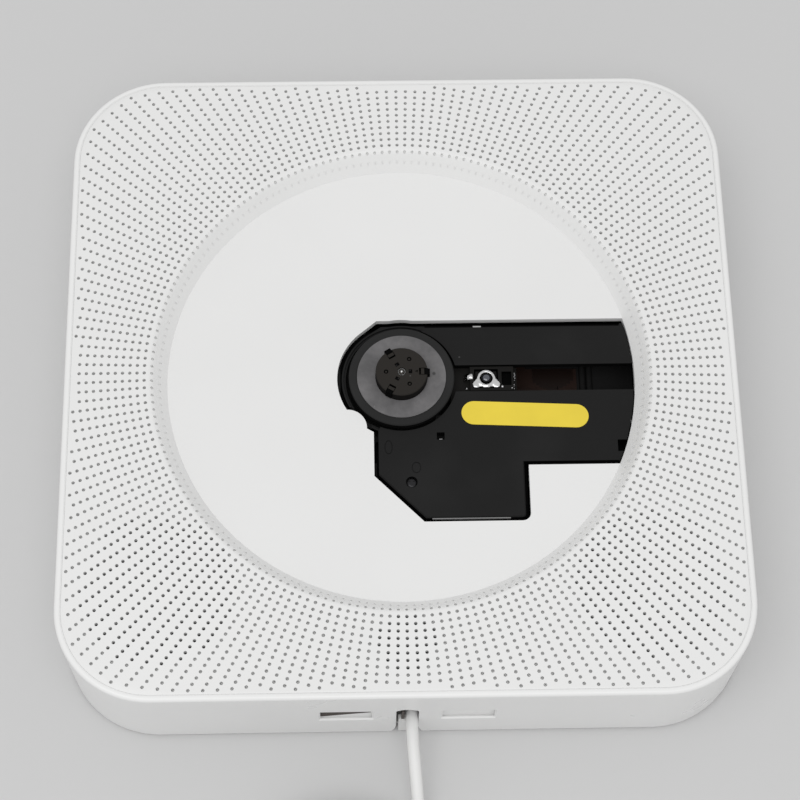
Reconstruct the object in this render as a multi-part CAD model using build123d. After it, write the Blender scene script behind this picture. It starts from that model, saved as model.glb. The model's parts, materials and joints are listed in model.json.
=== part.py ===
from build123d import *
import os
from math import atan2, cos, degrees, pi, radians, sin, sqrt

# A square, wall-hung compact disc player, lying on its back.
# Origin: centre of its footprint, on the surface. +Z out of its front, +Y towards its top edge.
# Lengths in millimetres, angles in degrees.

# ---------------------------------------------------------------- housing
body_width = 190.0
body_depth = 35.0
corner_radius = 26.5
edge_round = 1.0
shell_wall = 2.0
rim_width = 1.5
panel_gap = 0.3
panel_thickness = 2.2
ledge_width = 0.75
ledge_thickness = 1.5
rear_thickness = 2.0
rear_gap = 0.2

# ---------------------------------------------------------------- dish for the disc
dish_radius = 66.5
dish_depth = 6.0
dish_slope_width = 4.1
dish_lip_round = 2.0
throat_wall = 1.6
throat_rim = 1.3
throat_overlap = 0.2
floor_thickness = 2.0
floor_overlap = 0.5

# ---------------------------------------------------------------- cut-out of the dish floor
cutout_top = 18.0
cutout_bottom = 26.9
cutout_left = 8.1
cutout_ring_radius = 18.3
cutout_flare = 6.9
cutout_flare_drop = 3.2
cutout_boss_x = -15.5
cutout_boss_y = -15.0
cutout_boss_radius = 5.5
lobe_right = 35.2
lobe_bottom = 43.4
lobe_chamfer = 13.7
lobe_corner = 2.3

# ---------------------------------------------------------------- mechanism cover
mech_gap = 1.3
mech_end_gap = 0.35
mech_sink = 0.6
mech_cover_thickness = 2.0
well_clearance = 0.9
slot_width = 8.1
ring_step = 1.2
ring_lip = 0.7
ring_lip_width = 0.5
ring_step_start = 68.0
ring_step_end = 247.0
cover_ledge_width = 0.75
cover_ledge_depth = 0.7
cover_ledge_inset = 3.4
edge_chamfer = 0.35
oval_places = [(-4.0, -20.9, 2.3, 4.2), (3.7, -27.1, 2.6, 3.4)]
oval_line = 0.25
oval_depth = 0.2
cover_screw_place = (2.3, -31.4)
cover_screw_head = 1.4
cover_screw_shank = 0.7
skirt_gap = 0.3
skirt_thickness = 1.3
latch_hole = 2.2
latch_near_x = 10.75
latch_near_y = -17.65
latch_far_inset = 5.9
latch_far_y = -21.15
latch_far_width = 3.5
sticker_length = 36.0
sticker_width = 7.1
sticker_thickness = 0.15
sticker_x = 34.8
sticker_y = -11.4
sticker_turn = -2.6

# ---------------------------------------------------------------- turntable and hub
disc_lift = 1.4
turntable_radius = 15.0
turntable_thickness = 2.1
turntable_boss_radius = 3.0
turntable_boss_height = 1.8
pad_radius = 12.65
pad_thickness = 0.8
pad_proud = 0.3
pad_gap = 0.1
hub_radius = 7.35
hub_height = 3.4
hub_bevel = 0.25
hub_undercut = 0.35
hub_undercut_rise = 0.1
hub_dimple_radius = 0.65
hub_dimple_circle = 4.4
hub_window = 0.9
hub_window_circle = 2.5
hub_recess_radius = 1.2
hub_mark_depth = 0.5
hub_dot_radius = 0.3
hub_dot_depth = 1.1
hub_arrow_length = 0.9
shaft_radius = 1.0
shaft_seat_gap = 0.02
shaft_tip_sink = 0.25
claw_count = 3
claw_width = 1.8
claw_length = 2.0
claw_height = 2.2
claw_proud = 0.12
claw_travel = 0.4
claw_gap = 0.15

# ---------------------------------------------------------------- mechanism chassis and motors
chassis_left = 19.0
chassis_right = 69.5
chassis_top = 21.0
chassis_bottom = 26.5
chassis_lobe_left = 9.0
chassis_lobe_right = 37.0
chassis_lobe_bottom = 46.0
chassis_wall = 1.6
chassis_floor = 1.5
chassis_inner_height = 7.6
pan_depth = 5.4
pan_left = 14.2
pan_half_width = 10.6
pan_rib_places = (53.2, 55.2)
pan_rib_radius = 0.95
motor_radius = 12.2
motor_height = 12.3
motor_boss_radius = 3.0
motor_boss_height = 1.3
motor_screw_circle = 6.0
running_gap = 0.06

# ---------------------------------------------------------------- pickup sled
lens_rest_x = 24.2
sled_travel = 34.0
sled_left = 14.0
sled_right = 33.0
sled_half_width = 16.0
sled_thickness = 4.6
sled_top_gap = 0.4
neck_left = 19.6
neck_right = 32.0
neck_pocket_left = 28.6
neck_pocket_half_width = 2.1
neck_pocket_depth = 1.4
neck_side_gap = 0.35
neck_sink = 0.4
optics_left = 18.0
optics_right = 30.0
optics_half_width = 9.0
optics_depth = 6.4
rod_y = 13.0
rod_radius = 1.5
rail_y = -12.5
rail_radius = 1.25
rod_drop = 2.3
bracket_left = 9.5
bracket_width = 3.0
bracket_margin = 1.0
lens_cover_thickness = 0.4
lens_window_radius = 1.75
bell_radius = 2.5
bell_skirt = 2.85
bell_half_width = 3.85
bell_shoulder = 2.0
bell_lobe_radius = 0.95
bell_middle_radius = 1.3
bell_middle_offset = -0.2
holder_half_width = 2.5
holder_half_length = 3.0
holder_height = 2.2
holder_gap = 0.4
barrel_radius = 1.42
lens_radius = 1.15
lens_proud = 0.1
lens_thickness = 0.7
focus_travel = 0.5

# ---------------------------------------------------------------- sled drive
gear_module = 0.5
pinion_teeth = 12
wheel_teeth = 36
backlash = 0.14
rack_pitch_y = -18.5
rack_height = 2.4
drive_gear_x = 25.0
wheel_thickness = 1.8
wheel_lift = 0.3
pinion_height = 3.9
sled_motor_angle = 220.0
motor_pinion_height = 2.4
gear_pin_radius = 1.0

# ---------------------------------------------------------------- dampers
damper_places = [(-24.5, 14.0), (-24.5, -20.0), (46.0, 27.0), (44.0, -33.0)]
damper_radius = 4.4
damper_waist = 3.1
damper_flange = 1.4
damper_play = 0.15
damper_bore = 1.5
damper_post_radius = 3.0
tab_radius = 5.0
damper_shank = 1.2
damper_head_radius = 2.9
damper_head_height = 1.6

# ---------------------------------------------------------------- sound holes
hole_radius = 0.5
hole_sides = 6
hole_rows = 200
hole_pitch = 2.032
hole_first_ring = 72.49
hole_margin = 0.2
sensor_field_radius = 8.08
blind_ring_step = 5
blind_row_step = 4
blind_depth = 1.25

# ---------------------------------------------------------------- speakers and sensor
speaker_angle = 43.47
speaker_dish_gap = 0.3
speaker_corner_gap = 5.6
speaker_collar_wall = 1.6
speaker_collar_height = 2.0
speaker_flange = 1.5
speaker_basket_depth = 8.0
speaker_basket_wall = 0.8
speaker_window_width = 9.0
cone_gap = 0.5
cone_seat_width = 1.4
cone_roll_width = 3.2
cone_roll_height = 1.1
cone_thickness = 0.6
cone_depth = 5.0
dust_cap_radius = 6.0
dust_cap_rise = 2.2
magnet_step = 6.5
magnet_height = 8.0
magnet_plate = 2.0
magnet_plate_inset = 1.0
pole_radius = 3.6
pole_height = 1.2
sensor_top_gap = 1.2
sensor_edge_gap = 3.5
sensor_board_width = 22.0
sensor_post_radius = 1.5
sensor_post_height = 2.0
sensor_base_width = 5.0
sensor_base_height = 6.0
sensor_base_thickness = 0.8
sensor_window_radius = 1.9
board_thickness = 1.6

# ---------------------------------------------------------------- rear cover
foot_radius = 6.0
foot_thickness = 1.2
foot_proud = 0.8
foot_gap = 0.1
foot_side_inset = 33.0
foot_end_inset = 13.0
screw_inset = 13.0
screw_boss_radius = 3.0
screw_boss_height = 17.0
screw_tip_gap = 5.0
screw_shank = 1.4
screw_pilot = 1.45
screw_head_radius = 2.8
screw_head_height = 1.2
keyhole_spacing = 100.0
keyhole_inset = 40.0
keyhole_head_radius = 4.5
keyhole_neck_width = 4.4
keyhole_drop = 8.0
vent_count = 5
vent_pitch = 5.0
vent_length = 24.0
vent_width = 1.8

# ---------------------------------------------------------------- main board
board_left_inset = 33.0
board_right_inset = 11.0
board_top_inset = 23.0
board_chassis_gap = 9.0
standoff_height = 6.0
standoff_radius = 3.0
standoff_inset = 4.0
chip_sizes = [(42.0, 20.0, 12.0, 12.0, 1.4), (70.0, 24.0, 9.0, 6.0, 1.4), (98.0, 20.0, 10.0, 14.0, 2.2)]
capacitor_sizes = [(18.0, 12.0, 4.0, 9.0), (18.0, 24.0, 4.0, 9.0), (112.0, 12.0, 5.0, 11.0), (112.0, 25.0, 3.2, 7.0)]
socket_length = 14.0
socket_width = 4.0
socket_height = 2.4
socket_inset = 3.0

# ---------------------------------------------------------------- top edge buttons and jack
button_pitch = 17.0
button_names = ["volume_down", "volume_up", "previous", "next", "power"]
button_length = 11.0
button_height = 5.4
button_gap = 0.3
button_flange = 1.2
button_flange_rim = 1.2
button_stem_radius = 1.5
button_travel = 0.6
button_z_drop = 17.5
trough_length = 92.0
trough_height = 11.0
trough_depth = 0.8
button_proud = 0.6
button_bevel = 0.35
switch_size = 6.0
switch_depth = 3.2
switch_plunger = 0.7
button_board_length = 88.0
button_board_height = 12.0
jack_bore = 1.8
jack_depth = 13.0
jack_body = 7.0
jack_collar_radius = 3.0
jack_collar_gap = 0.3

# ---------------------------------------------------------------- cord, its notch and pull switch
cord_diameter = 3.4
cord_x = 1.2
cord_drop = 22.5
pull_travel = 3.0
notch_half_width = 3.1
notch_crown_drop = 12.2
notch_shoulder_drop = 14.0
notch_flare = 1.1
notch_flare_height = 7.0
tongue_half_width = 2.4
tongue_thickness = 1.8
stand_pocket_x = 16.75
stand_pocket_width = 15.1
stand_pocket_height = 8.7
stand_pocket_drop = 17.9
stand_pocket_depth = 1.9
stand_pocket_shallow = 0.9
stand_pocket_backing = 1.6
relief_tip_inset = 5.5
relief_length = 16.0
relief_root_radius = 3.0
slider_width = 8.0
slider_height = 7.0
slider_length = 12.0
slider_wing = 5.0
guide_gap = 0.3
guide_wall = 1.6
guide_base = 1.5
coil_mean_radius = 20.0
coil_turns_across = 4
coil_layers = 3
plug_body_length = 26.0
plug_body_width = 15.0
plug_body_height = 8.0
plug_shell_length = 14.0
plug_shell_width = 12.0
plug_shell_height = 4.5
plug_y_offset = -15.0
plug_back_offset = 14.5

# ---------------------------------------------------------------- heights and places worked out
half = body_width / 2
front = foot_proud + body_depth
panel_back = front - panel_thickness
ledge_back = panel_back - ledge_thickness
rear_inside = foot_proud + rear_thickness
dish_floor = front - dish_depth
floor_back = dish_floor - floor_thickness
throat_outer = dish_radius + throat_wall * sqrt(dish_depth**2 + dish_slope_width**2) / dish_depth
plate_inner_radius = dish_radius + dish_slope_width + throat_rim - throat_overlap
mech_top = dish_floor - mech_sink
mech_back = mech_top - mech_cover_thickness
pad_top = dish_floor + disc_lift
turntable_top = pad_top - pad_proud
pad_seat = pad_top - pad_thickness
turntable_back = turntable_top - turntable_thickness
hub_collar = pad_top + hub_undercut_rise
hub_top = pad_top + hub_height
claw_floor = hub_top - claw_height - claw_gap
chassis_inside = mech_back - chassis_inner_height
chassis_back = chassis_inside - chassis_floor
pan_floor = chassis_inside - pan_depth
sled_top = mech_back - sled_top_gap
sled_back = sled_top - sled_thickness
neck_top = mech_top - neck_sink
rod_z = sled_top - rod_drop
lens_cover_top = neck_top + lens_cover_thickness
holder_top = neck_top - focus_travel - 0.2
holder_back = holder_top - holder_height
lens_top = dish_floor - 0.2
barrel_top = lens_top - lens_proud
pinion_radius = gear_module * pinion_teeth / 2
wheel_radius = gear_module * wheel_teeth / 2
drive_gear_y = rack_pitch_y - pinion_radius
gear_distance = wheel_radius + pinion_radius
sled_motor_x = drive_gear_x + gear_distance * cos(radians(sled_motor_angle))
sled_motor_y = drive_gear_y + gear_distance * sin(radians(sled_motor_angle))
wheel_back = chassis_inside + wheel_lift
wheel_top = wheel_back + wheel_thickness
rack_top = rod_z + rack_height / 2
slope = dish_slope_width / dish_depth
speaker_seat = panel_back - speaker_collar_height
throat_behind = throat_outer + (panel_back - dish_floor) * slope
throat_at_seat = throat_outer + (speaker_seat - dish_floor) * slope
corner_reach = (half - corner_radius) * sqrt(2) + corner_radius - shell_wall
speaker_radius = (corner_reach - speaker_corner_gap - throat_at_seat - speaker_dish_gap) / 2
speaker_reach = throat_at_seat + speaker_dish_gap + speaker_radius
speaker_x = speaker_reach * cos(radians(speaker_angle))
speaker_y = -speaker_reach * sin(radians(speaker_angle))
speaker_opening = speaker_radius - speaker_collar_wall
cone_outer = speaker_opening - cone_gap
speaker_cone_radius = cone_outer - cone_seat_width
magnet_radius = speaker_cone_radius - magnet_step
sensor_high = throat_behind + sensor_top_gap
sensor_low = half - shell_wall - ledge_width - sensor_edge_gap
sensor_y = -(sensor_high + sensor_low) / 2
basket_back = speaker_seat - speaker_flange - speaker_basket_depth
sensor_seat = panel_back - sensor_post_height
foot_x = half - foot_side_inset
foot_y = half - foot_end_inset
screw_place = half - screw_inset
keyhole_y = half - keyhole_inset
main_board_left = board_left_inset - half
main_board_right = half - board_right_inset
main_board_top = half - board_top_inset
main_board_bottom = chassis_top + board_chassis_gap
main_board_back = rear_inside + standoff_height
main_board_face = main_board_back + board_thickness
button_z = front - button_z_drop
button_face = half - trough_depth
button_back = half - shell_wall - 0.1
switch_face = button_back - button_flange - 4.0
button_board_y = switch_face - switch_depth
cord_radius = cord_diameter / 2
cord_z = front - cord_drop
jack_y = (main_board_bottom + main_board_top) / 2
jack_z = main_board_face + jack_body / 2
relief_tip_y = relief_tip_inset - half
slider_front = relief_tip_y + relief_length
coil_inner = coil_mean_radius - coil_turns_across * cord_diameter / 2
coil_outer = coil_mean_radius + coil_turns_across * cord_diameter / 2
coil_height = coil_layers * cord_diameter

# Route of the cord from its strain relief to the coil, out of the notch and down to the surface.
cord_route = [
    (cord_x, relief_tip_y, cord_z),
    (cord_x, relief_tip_y - 9.0, cord_z),
    (2.0, -109.0, 11.4),
    (2.9, -121.5, 5.6),
    (3.6, -134.0, 2.0),
    (4.1, -146.0, cord_radius),
]
coil_x = cord_route[-1][0] - coil_outer + cord_radius
coil_y = cord_route[-1][1]


# ---------------------------------------------------------------- helpers
def block(x0, x1, y0, y1, z0, z1):
    """A box between two corners."""
    return Pos((x0 + x1) / 2, (y0 + y1) / 2, (z0 + z1) / 2) * Box(x1 - x0, y1 - y0, z1 - z0)


def rod_up(x, y, radius, z0, z1):
    """A round bar along Z."""
    return Pos(x, y, z0) * extrude(Circle(radius), z1 - z0)


def raised(outline, z0, z1):
    """A flat outline raised from z0 to z1."""
    return Pos(0, 0, z0) * extrude(outline, z1 - z0)


def along_y(outline, y0, y1):
    """An outline drawn in X and Z, carried from y0 to y1."""
    return extrude(Plane.XZ.offset(-y0) * outline, -(y1 - y0))


def along_x(outline, x0, x1):
    """An outline drawn in Y and Z, carried from x0 to x1."""
    return extrude(Plane.YZ.offset(x0) * outline, x1 - x0)


def polygon(points):
    """A face bounded by straight lines through the points."""
    return make_face(Polyline(*points, close=True))


def turned(points):
    """A solid of revolution about Z from (radius, height) points."""
    return revolve(Plane.XZ * polygon(points), Axis.Z)


def square_outline(inset):
    """The housing's rounded square, drawn in by inset."""
    return RectangleRounded(body_width - 2 * inset, body_width - 2 * inset, corner_radius - inset)


def four_corners(x, y):
    return [(sx * x, sy * y) for sx in (-1, 1) for sy in (-1, 1)]


def polar(radius, angle):
    return (radius * cos(radians(angle)), radius * sin(radians(angle)))


def write(name, shape):
    """Write one sub-part as its own STEP file."""
    solids = shape.solids()
    body = solids[0] if len(solids) == 1 else Compound(solids)
    export_step(body, f"parts/{name}.step")


# ---------------------------------------------------------------- housing pieces
def grille_places(ring_step=1, row_step=1):
    """Centres of the grille's polar pattern, as (x, y), by whole steps of rings and rows."""
    rings = int((corner_reach - hole_first_ring) / hole_pitch) + 1
    return [polar(hole_first_ring + ring * hole_pitch, 360 * row / hole_rows)
            for ring in range(0, rings, ring_step) for row in range(0, hole_rows, row_step)]


def sound_fields():
    """Round fields of open holes as (x, y, radius): the sensor's and the two speakers'."""
    speaker_field = speaker_opening - hole_margin
    return [(0, sensor_y, sensor_field_radius)] + [
        (side * speaker_x, speaker_y, speaker_field) for side in (-1, 1)]


def in_fields(x, y, margin=0.0):
    return any((x - field_x)**2 + (y - field_y)**2 < (radius + margin)**2
               for field_x, field_y, radius in sound_fields())


def blind_dimples():
    """Main blind dimples between the open fields; the rest are left to the surface look."""
    edge = half - rim_width - panel_gap - hole_pitch
    corner = corner_radius - rim_width - panel_gap - hole_pitch
    bound = edge - corner
    dimples = []
    for x, y in grille_places(blind_ring_step, blind_row_step):
        past_x = max(abs(x) - bound, 0)
        past_y = max(abs(y) - bound, 0)
        if sqrt(past_x**2 + past_y**2) < corner and not in_fields(x, y, hole_pitch / 2):
            square = RegularPolygon(hole_radius, 4, rotation=degrees(atan2(y, x)))
            dimples.append(raised(Pos(x, y) * square, front - blind_depth, front + 1))
    return dimples


def hole_wire(x, y):
    """Outline of one hole, as a small polygon as large as its circle."""
    return RegularPolygon(hole_radius, hole_sides).moved(Location((x, y))).face().outer_wire()


def perforated_plate():
    """Flat plate with the open holes of the speakers and the sensor, and the main blind dimples."""
    places = [(x, y) for x, y in grille_places() if in_fields(x, y)]
    outline = square_outline(rim_width + panel_gap).face().outer_wire()
    mouth = Circle(plate_inner_radius).face().outer_wire()
    wires = [mouth] + [hole_wire(x, y) for x, y in places]
    plate = Pos(0, 0, panel_back) * extrude(Face(outline, wires), panel_thickness)
    return plate - blind_dimples()


def front_panel():
    """Perforated panel with the flared throat of the dish, speaker collars and sensor posts."""
    mouth = dish_radius + dish_slope_width
    profile = polygon([
        (dish_radius, dish_floor),
        (mouth, front),
        (plate_inner_radius + throat_overlap, front),
        (plate_inner_radius + throat_overlap, panel_back),
        (throat_behind, panel_back),
        (throat_outer, dish_floor),
    ])
    lip = profile.vertices().sort_by_distance((mouth, front, 0))[0]
    throat = revolve(Plane.XZ * fillet(lip, dish_lip_round), Axis.Z)
    for side in (-1, 1):
        collar = Circle(speaker_radius) - Circle(speaker_opening)
        throat += Pos(side * speaker_x, speaker_y, 0) * raised(collar, speaker_seat, panel_back)
        post_x = side * (sensor_board_width / 2 - sensor_post_radius)
        throat += rod_up(post_x, sensor_y, sensor_post_radius, sensor_seat, panel_back)
    return perforated_plate() + throat


def notch_outline():
    """Cord notch in the bottom wall: a low arch that flares at the back edge."""
    base = foot_proud
    shoulder = front - notch_shoulder_drop
    crown = front - notch_crown_drop
    wide = notch_half_width + notch_flare
    flare_top = base + notch_flare_height
    bend = (notch_half_width + 0.3 * notch_flare, base + 0.45 * notch_flare_height)
    edges = [
        Line((-wide, base - 1), (-wide, base)),
        ThreePointArc((-wide, base), (-bend[0], bend[1]), (-notch_half_width, flare_top)),
        Line((-notch_half_width, flare_top), (-notch_half_width, shoulder)),
        ThreePointArc((-notch_half_width, shoulder), (0, crown), (notch_half_width, shoulder)),
        Line((notch_half_width, shoulder), (notch_half_width, flare_top)),
        ThreePointArc((notch_half_width, flare_top), bend, (wide, base)),
        Line((wide, base), (wide, base - 1)),
        Line((wide, base - 1), (-wide, base - 1)),
    ]
    return make_face(edges)


def stand_pocket(side):
    """Wedge-shaped pocket in the bottom wall, deepest at its front edge."""
    top = front - stand_pocket_drop + stand_pocket_height / 2
    low = top - stand_pocket_height
    wedge = polygon([
        (-half - 1, low),
        (-half + stand_pocket_shallow, low),
        (-half + stand_pocket_depth, top),
        (-half - 1, top),
    ])
    x0 = side * stand_pocket_x - stand_pocket_width / 2
    return along_x(wedge, x0, x0 + stand_pocket_width)


def side_shell():
    """Square tube wall with its front rim, the ledge behind the panel, bosses and openings."""
    shell = raised(square_outline(0), foot_proud, front)
    shell = fillet(shell.faces().sort_by(Axis.Z)[-1].edges(), edge_round)
    shell -= raised(square_outline(rim_width), panel_back, front + 1)
    shell -= raised(square_outline(shell_wall), foot_proud - 1, ledge_back)
    shell -= raised(square_outline(shell_wall + ledge_width), ledge_back - 1, panel_back + 1)
    boss_top = rear_inside + screw_boss_height
    inside = raised(square_outline(shell_wall / 2), rear_inside, boss_top)
    web_length = corner_reach + shell_wall - sqrt(2) * screw_place
    for x, y in four_corners(screw_place, screw_place):
        web = Rot(0, 0, degrees(atan2(y, x))) * Pos(web_length / 2, 0) * Rectangle(
            web_length, 2 * screw_boss_radius)
        web = Pos(x, y) * (web + Circle(screw_boss_radius))
        shell += raised(web, rear_inside, boss_top) & inside
        shell -= rod_up(x, y, screw_pilot, rear_inside - 1, boss_top - 2)
    for side in (-1, 1):
        backing_x = stand_pocket_width / 2 + stand_pocket_backing
        backing_z = stand_pocket_height / 2 + stand_pocket_backing
        middle_x = side * stand_pocket_x
        middle_z = front - stand_pocket_drop
        shell += block(middle_x - backing_x, middle_x + backing_x,
                       -half + shell_wall - 0.5, -half + stand_pocket_depth + stand_pocket_backing,
                       middle_z - backing_z, middle_z + backing_z)
    for side in (-1, 1):
        shell -= stand_pocket(side)
        holder_x = side * (button_board_length / 2 + 1.5)
        shell += block(holder_x - 1.5, holder_x + 1.5, button_board_y - board_thickness,
                       half - shell_wall + 0.5, button_z - button_board_height / 2,
                       button_z + button_board_height / 2)
    shell -= along_y(notch_outline(), -half - 1, -half + shell_wall + 1)
    trough = Pos(0, button_z) * SlotOverall(trough_length, trough_height)
    shell -= along_y(trough, half - trough_depth, half + 1)
    for number in range(len(button_names)):
        hole = Pos(button_x(number), button_z) * SlotOverall(
            button_length + 2 * button_gap, button_height + 2 * button_gap)
        shell -= along_y(hole, half - shell_wall - 1, half + 1)
    jack_hole = Pos(jack_y, jack_z) * Circle(jack_collar_radius + jack_collar_gap)
    shell -= along_x(jack_hole, half - shell_wall - 1, half + 1)
    return shell


def cutout_outline(inset=0.0, end_inset=0.0):
    """Outline of the cut-out in the dish floor, drawn in by inset, and by end_inset at the dish's edge."""
    top = cutout_top - inset
    bottom = cutout_bottom - inset
    left = cutout_left - inset
    right = lobe_right - inset
    low = lobe_bottom - inset
    flare = cutout_flare - inset
    ring = cutout_ring_radius - inset
    slant = lobe_chamfer - (2 - sqrt(2)) * inset
    main = Pos((dish_radius + 4 - flare) / 2, (top - bottom) / 2) * Rectangle(
        dish_radius + 4 + flare, top + bottom)
    main &= Circle(dish_radius - end_inset)
    main += polygon([
        (-left, 0), (0, 0), (0, -bottom + 1), (right, -bottom + 1), (right, -low),
        (slant - left, -low), (-left, slant - low),
    ])
    corner = main.vertices().sort_by_distance((right, -low, 0))[0]
    main = fillet(corner, lobe_corner - inset)
    main += Circle(ring)
    shoulder = top - cutout_flare_drop
    flare_foot = -sqrt(ring**2 - shoulder**2)
    main += polygon([(flare_foot, shoulder), (-flare, top), (-flare, shoulder)])
    return main - Pos(cutout_boss_x, cutout_boss_y) * Circle(cutout_boss_radius + inset)


def disc_floor():
    """Floor of the dish with the mechanism's cut-out and the four damper posts."""
    floor = rod_up(0, 0, throat_outer + floor_overlap, floor_back, dish_floor)
    floor -= raised(cutout_outline(), floor_back - 1, dish_floor + 1)
    post_foot = chassis_inside + damper_play + damper_flange
    for x, y in damper_places:
        floor += rod_up(x, y, damper_post_radius, post_foot, floor_back)
        floor -= rod_up(x, y, damper_shank + 0.1, post_foot - 1, floor_back - 1)
    return floor


def keyhole():
    """Entry hole and narrow neck for a wall screw."""
    neck = Pos(0, keyhole_drop / 2) * Rectangle(keyhole_neck_width, keyhole_drop)
    neck += Pos(0, keyhole_drop) * Circle(keyhole_neck_width / 2)
    return neck + Circle(keyhole_head_radius)


def rear_cover():
    """Back plate with keyholes, vents, standoffs and the tongue that closes the notch."""
    cover = raised(square_outline(shell_wall + rear_gap), foot_proud, rear_inside)
    tongue_top = cord_z - cord_radius - 0.1
    cover += block(-tongue_half_width, tongue_half_width, -half + 0.2, -half + 5,
                   foot_proud, rear_inside)
    cover += block(-tongue_half_width, tongue_half_width, -half + 0.2,
                   -half + 0.2 + tongue_thickness, foot_proud, tongue_top)
    for side in (-1, 1):
        place = Pos(side * keyhole_spacing / 2, keyhole_y)
        cover -= raised(place * keyhole(), foot_proud - 1, rear_inside + 1)
        for number in range(vent_count):
            vent_y = speaker_y + (number - (vent_count - 1) / 2) * vent_pitch
            vent = Pos(side * speaker_x, vent_y) * SlotOverall(vent_length, vent_width)
            cover -= raised(vent, foot_proud - 1, rear_inside + 1)
    for x, y in four_corners(foot_x, foot_y):
        cover -= rod_up(x, y, foot_radius + foot_gap, foot_proud - 1, foot_thickness)
    for x, y in four_corners(screw_place, screw_place):
        cover -= rod_up(x, y, screw_shank + 0.3, foot_proud - 1, rear_inside + 1)
        cover -= rod_up(x, y, screw_head_radius + 0.3, foot_proud - 1, foot_proud + screw_head_height)
    for x, y in board_screw_places():
        cover += rod_up(x, y, standoff_radius, rear_inside, main_board_back)
        cover -= rod_up(x, y, screw_pilot, rear_inside, main_board_back + 1)
    return cover


def rubber_feet():
    feet = [rod_up(x, y, foot_radius, 0, foot_thickness) for x, y in four_corners(foot_x, foot_y)]
    return Compound([foot.solid() for foot in feet])


def screw(x, y, shank, length, head_radius, head_height, seat, down=True):
    """A pan-head screw whose head rests on z = seat. With down, its shank points to -Z."""
    way = -1 if down else 1
    head = turned([(0, 0), (head_radius, 0), (head_radius, way * -0.6 * head_height),
                   (0.6 * head_radius, way * -head_height), (0, way * -head_height)])
    body = rod_up(0, 0, shank, min(0, way * length), max(0, way * length))
    cross = block(-0.25 * head_radius, 0.25 * head_radius, -0.7 * head_radius, 0.7 * head_radius,
                  min(way * -head_height, way * -0.6 * head_height) - (0 if down else 1),
                  max(way * -head_height, way * -0.6 * head_height) + (1 if down else 0))
    return Pos(x, y, seat) * (head + body - cross - Rot(0, 0, 90) * cross)


def housing_screws():
    """Four screws, put in from the back, that hold the rear cover."""
    seat = foot_proud + screw_head_height
    return Compound([
        screw(x, y, screw_shank, screw_boss_height - screw_tip_gap, screw_head_radius,
              screw_head_height, seat, down=False).solid()
        for x, y in four_corners(screw_place, screw_place)])


# ---------------------------------------------------------------- speakers and sensor
def speaker_frame(side):
    """Flanged basket with four windows."""
    flange_back = speaker_seat - speaker_flange
    wall = speaker_basket_wall
    frame = turned([
        (speaker_cone_radius, speaker_seat),
        (speaker_radius, speaker_seat),
        (speaker_radius, flange_back),
        (speaker_cone_radius + 2 * wall, flange_back),
        (magnet_radius, basket_back + wall),
        (magnet_radius, basket_back),
        (pole_radius + wall, basket_back),
        (pole_radius + wall, basket_back + wall),
        (magnet_radius - wall, basket_back + wall),
        (speaker_cone_radius, flange_back),
    ])
    for number in range(4):
        frame -= Rot(0, 0, 45 + 90 * number) * block(
            magnet_radius, speaker_cone_radius + 2 * wall, -speaker_window_width / 2,
            speaker_window_width / 2, basket_back + 2 * wall, flange_back - wall)
    return Pos(side * speaker_x, speaker_y, 0) * frame


def speaker_cone(side):
    """Paper cone with its rubber roll and dust cap."""
    rim = speaker_seat + cone_thickness
    roll = speaker_cone_radius - cone_roll_width
    crest = speaker_cone_radius - cone_roll_width / 2
    front_line = [
        (cone_outer, rim), (speaker_cone_radius, rim), (crest, speaker_seat + cone_roll_height), (roll, rim),
        (dust_cap_radius, rim - cone_depth), (0, rim - cone_depth + dust_cap_rise),
    ]
    back_line = [(radius, height - cone_thickness) for radius, height in front_line]
    return Pos(side * speaker_x, speaker_y, 0) * turned(front_line + back_line[::-1])


def speaker_magnet(side):
    """Ring magnet with its back plate and pole piece."""
    magnet_back = basket_back - magnet_height
    magnet = turned([
        (0, basket_back + pole_height),
        (pole_radius, basket_back + pole_height),
        (pole_radius, basket_back),
        (magnet_radius, basket_back),
        (magnet_radius, magnet_back + magnet_plate),
        (magnet_radius - magnet_plate_inset, magnet_back + magnet_plate),
        (magnet_radius - magnet_plate_inset, magnet_back),
        (0, magnet_back),
    ])
    return Pos(side * speaker_x, speaker_y, 0) * magnet


def sensor_board():
    return block(-sensor_board_width / 2, sensor_board_width / 2, -sensor_low, -sensor_high,
                 sensor_seat - board_thickness, sensor_seat)


def remote_sensor():
    """Infrared receiver with its domed window."""
    body = block(-sensor_base_width / 2, sensor_base_width / 2, sensor_y - sensor_base_height / 2,
                 sensor_y + sensor_base_height / 2, sensor_seat, sensor_seat + sensor_base_thickness)
    return body + rod_up(0, sensor_y, sensor_window_radius, sensor_seat, panel_back - panel_gap)


# ---------------------------------------------------------------- main board
def board_screw_places():
    left = main_board_left + standoff_inset
    right = main_board_right - standoff_inset
    low = main_board_bottom + standoff_inset
    high = main_board_top - standoff_inset
    return [(x, y) for x in (left, right) for y in (low, high)]


def main_board():
    board = block(main_board_left, main_board_right, main_board_bottom, main_board_top,
                  main_board_back, main_board_face)
    for x, y in board_screw_places():
        board -= rod_up(x, y, screw_shank + 0.2, main_board_back - 1, main_board_face + 1)
    return board


def board_screws():
    return Compound([
        screw(x, y, screw_shank, standoff_height, screw_head_radius, screw_head_height,
              main_board_face).solid()
        for x, y in board_screw_places()])


def board_chips():
    """Decoder, memory and amplifier packages, and the flex cable's socket."""
    packages = [
        Pos(main_board_left + x, main_board_bottom + y, main_board_face + height / 2) * Box(length, width, height)
        for x, y, length, width, height in chip_sizes]
    packages.append(Pos(flex_x, main_board_bottom + socket_inset, main_board_face + socket_height / 2)
                    * Box(socket_length, socket_width, socket_height))
    return Compound([package.solid() for package in packages])


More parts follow.
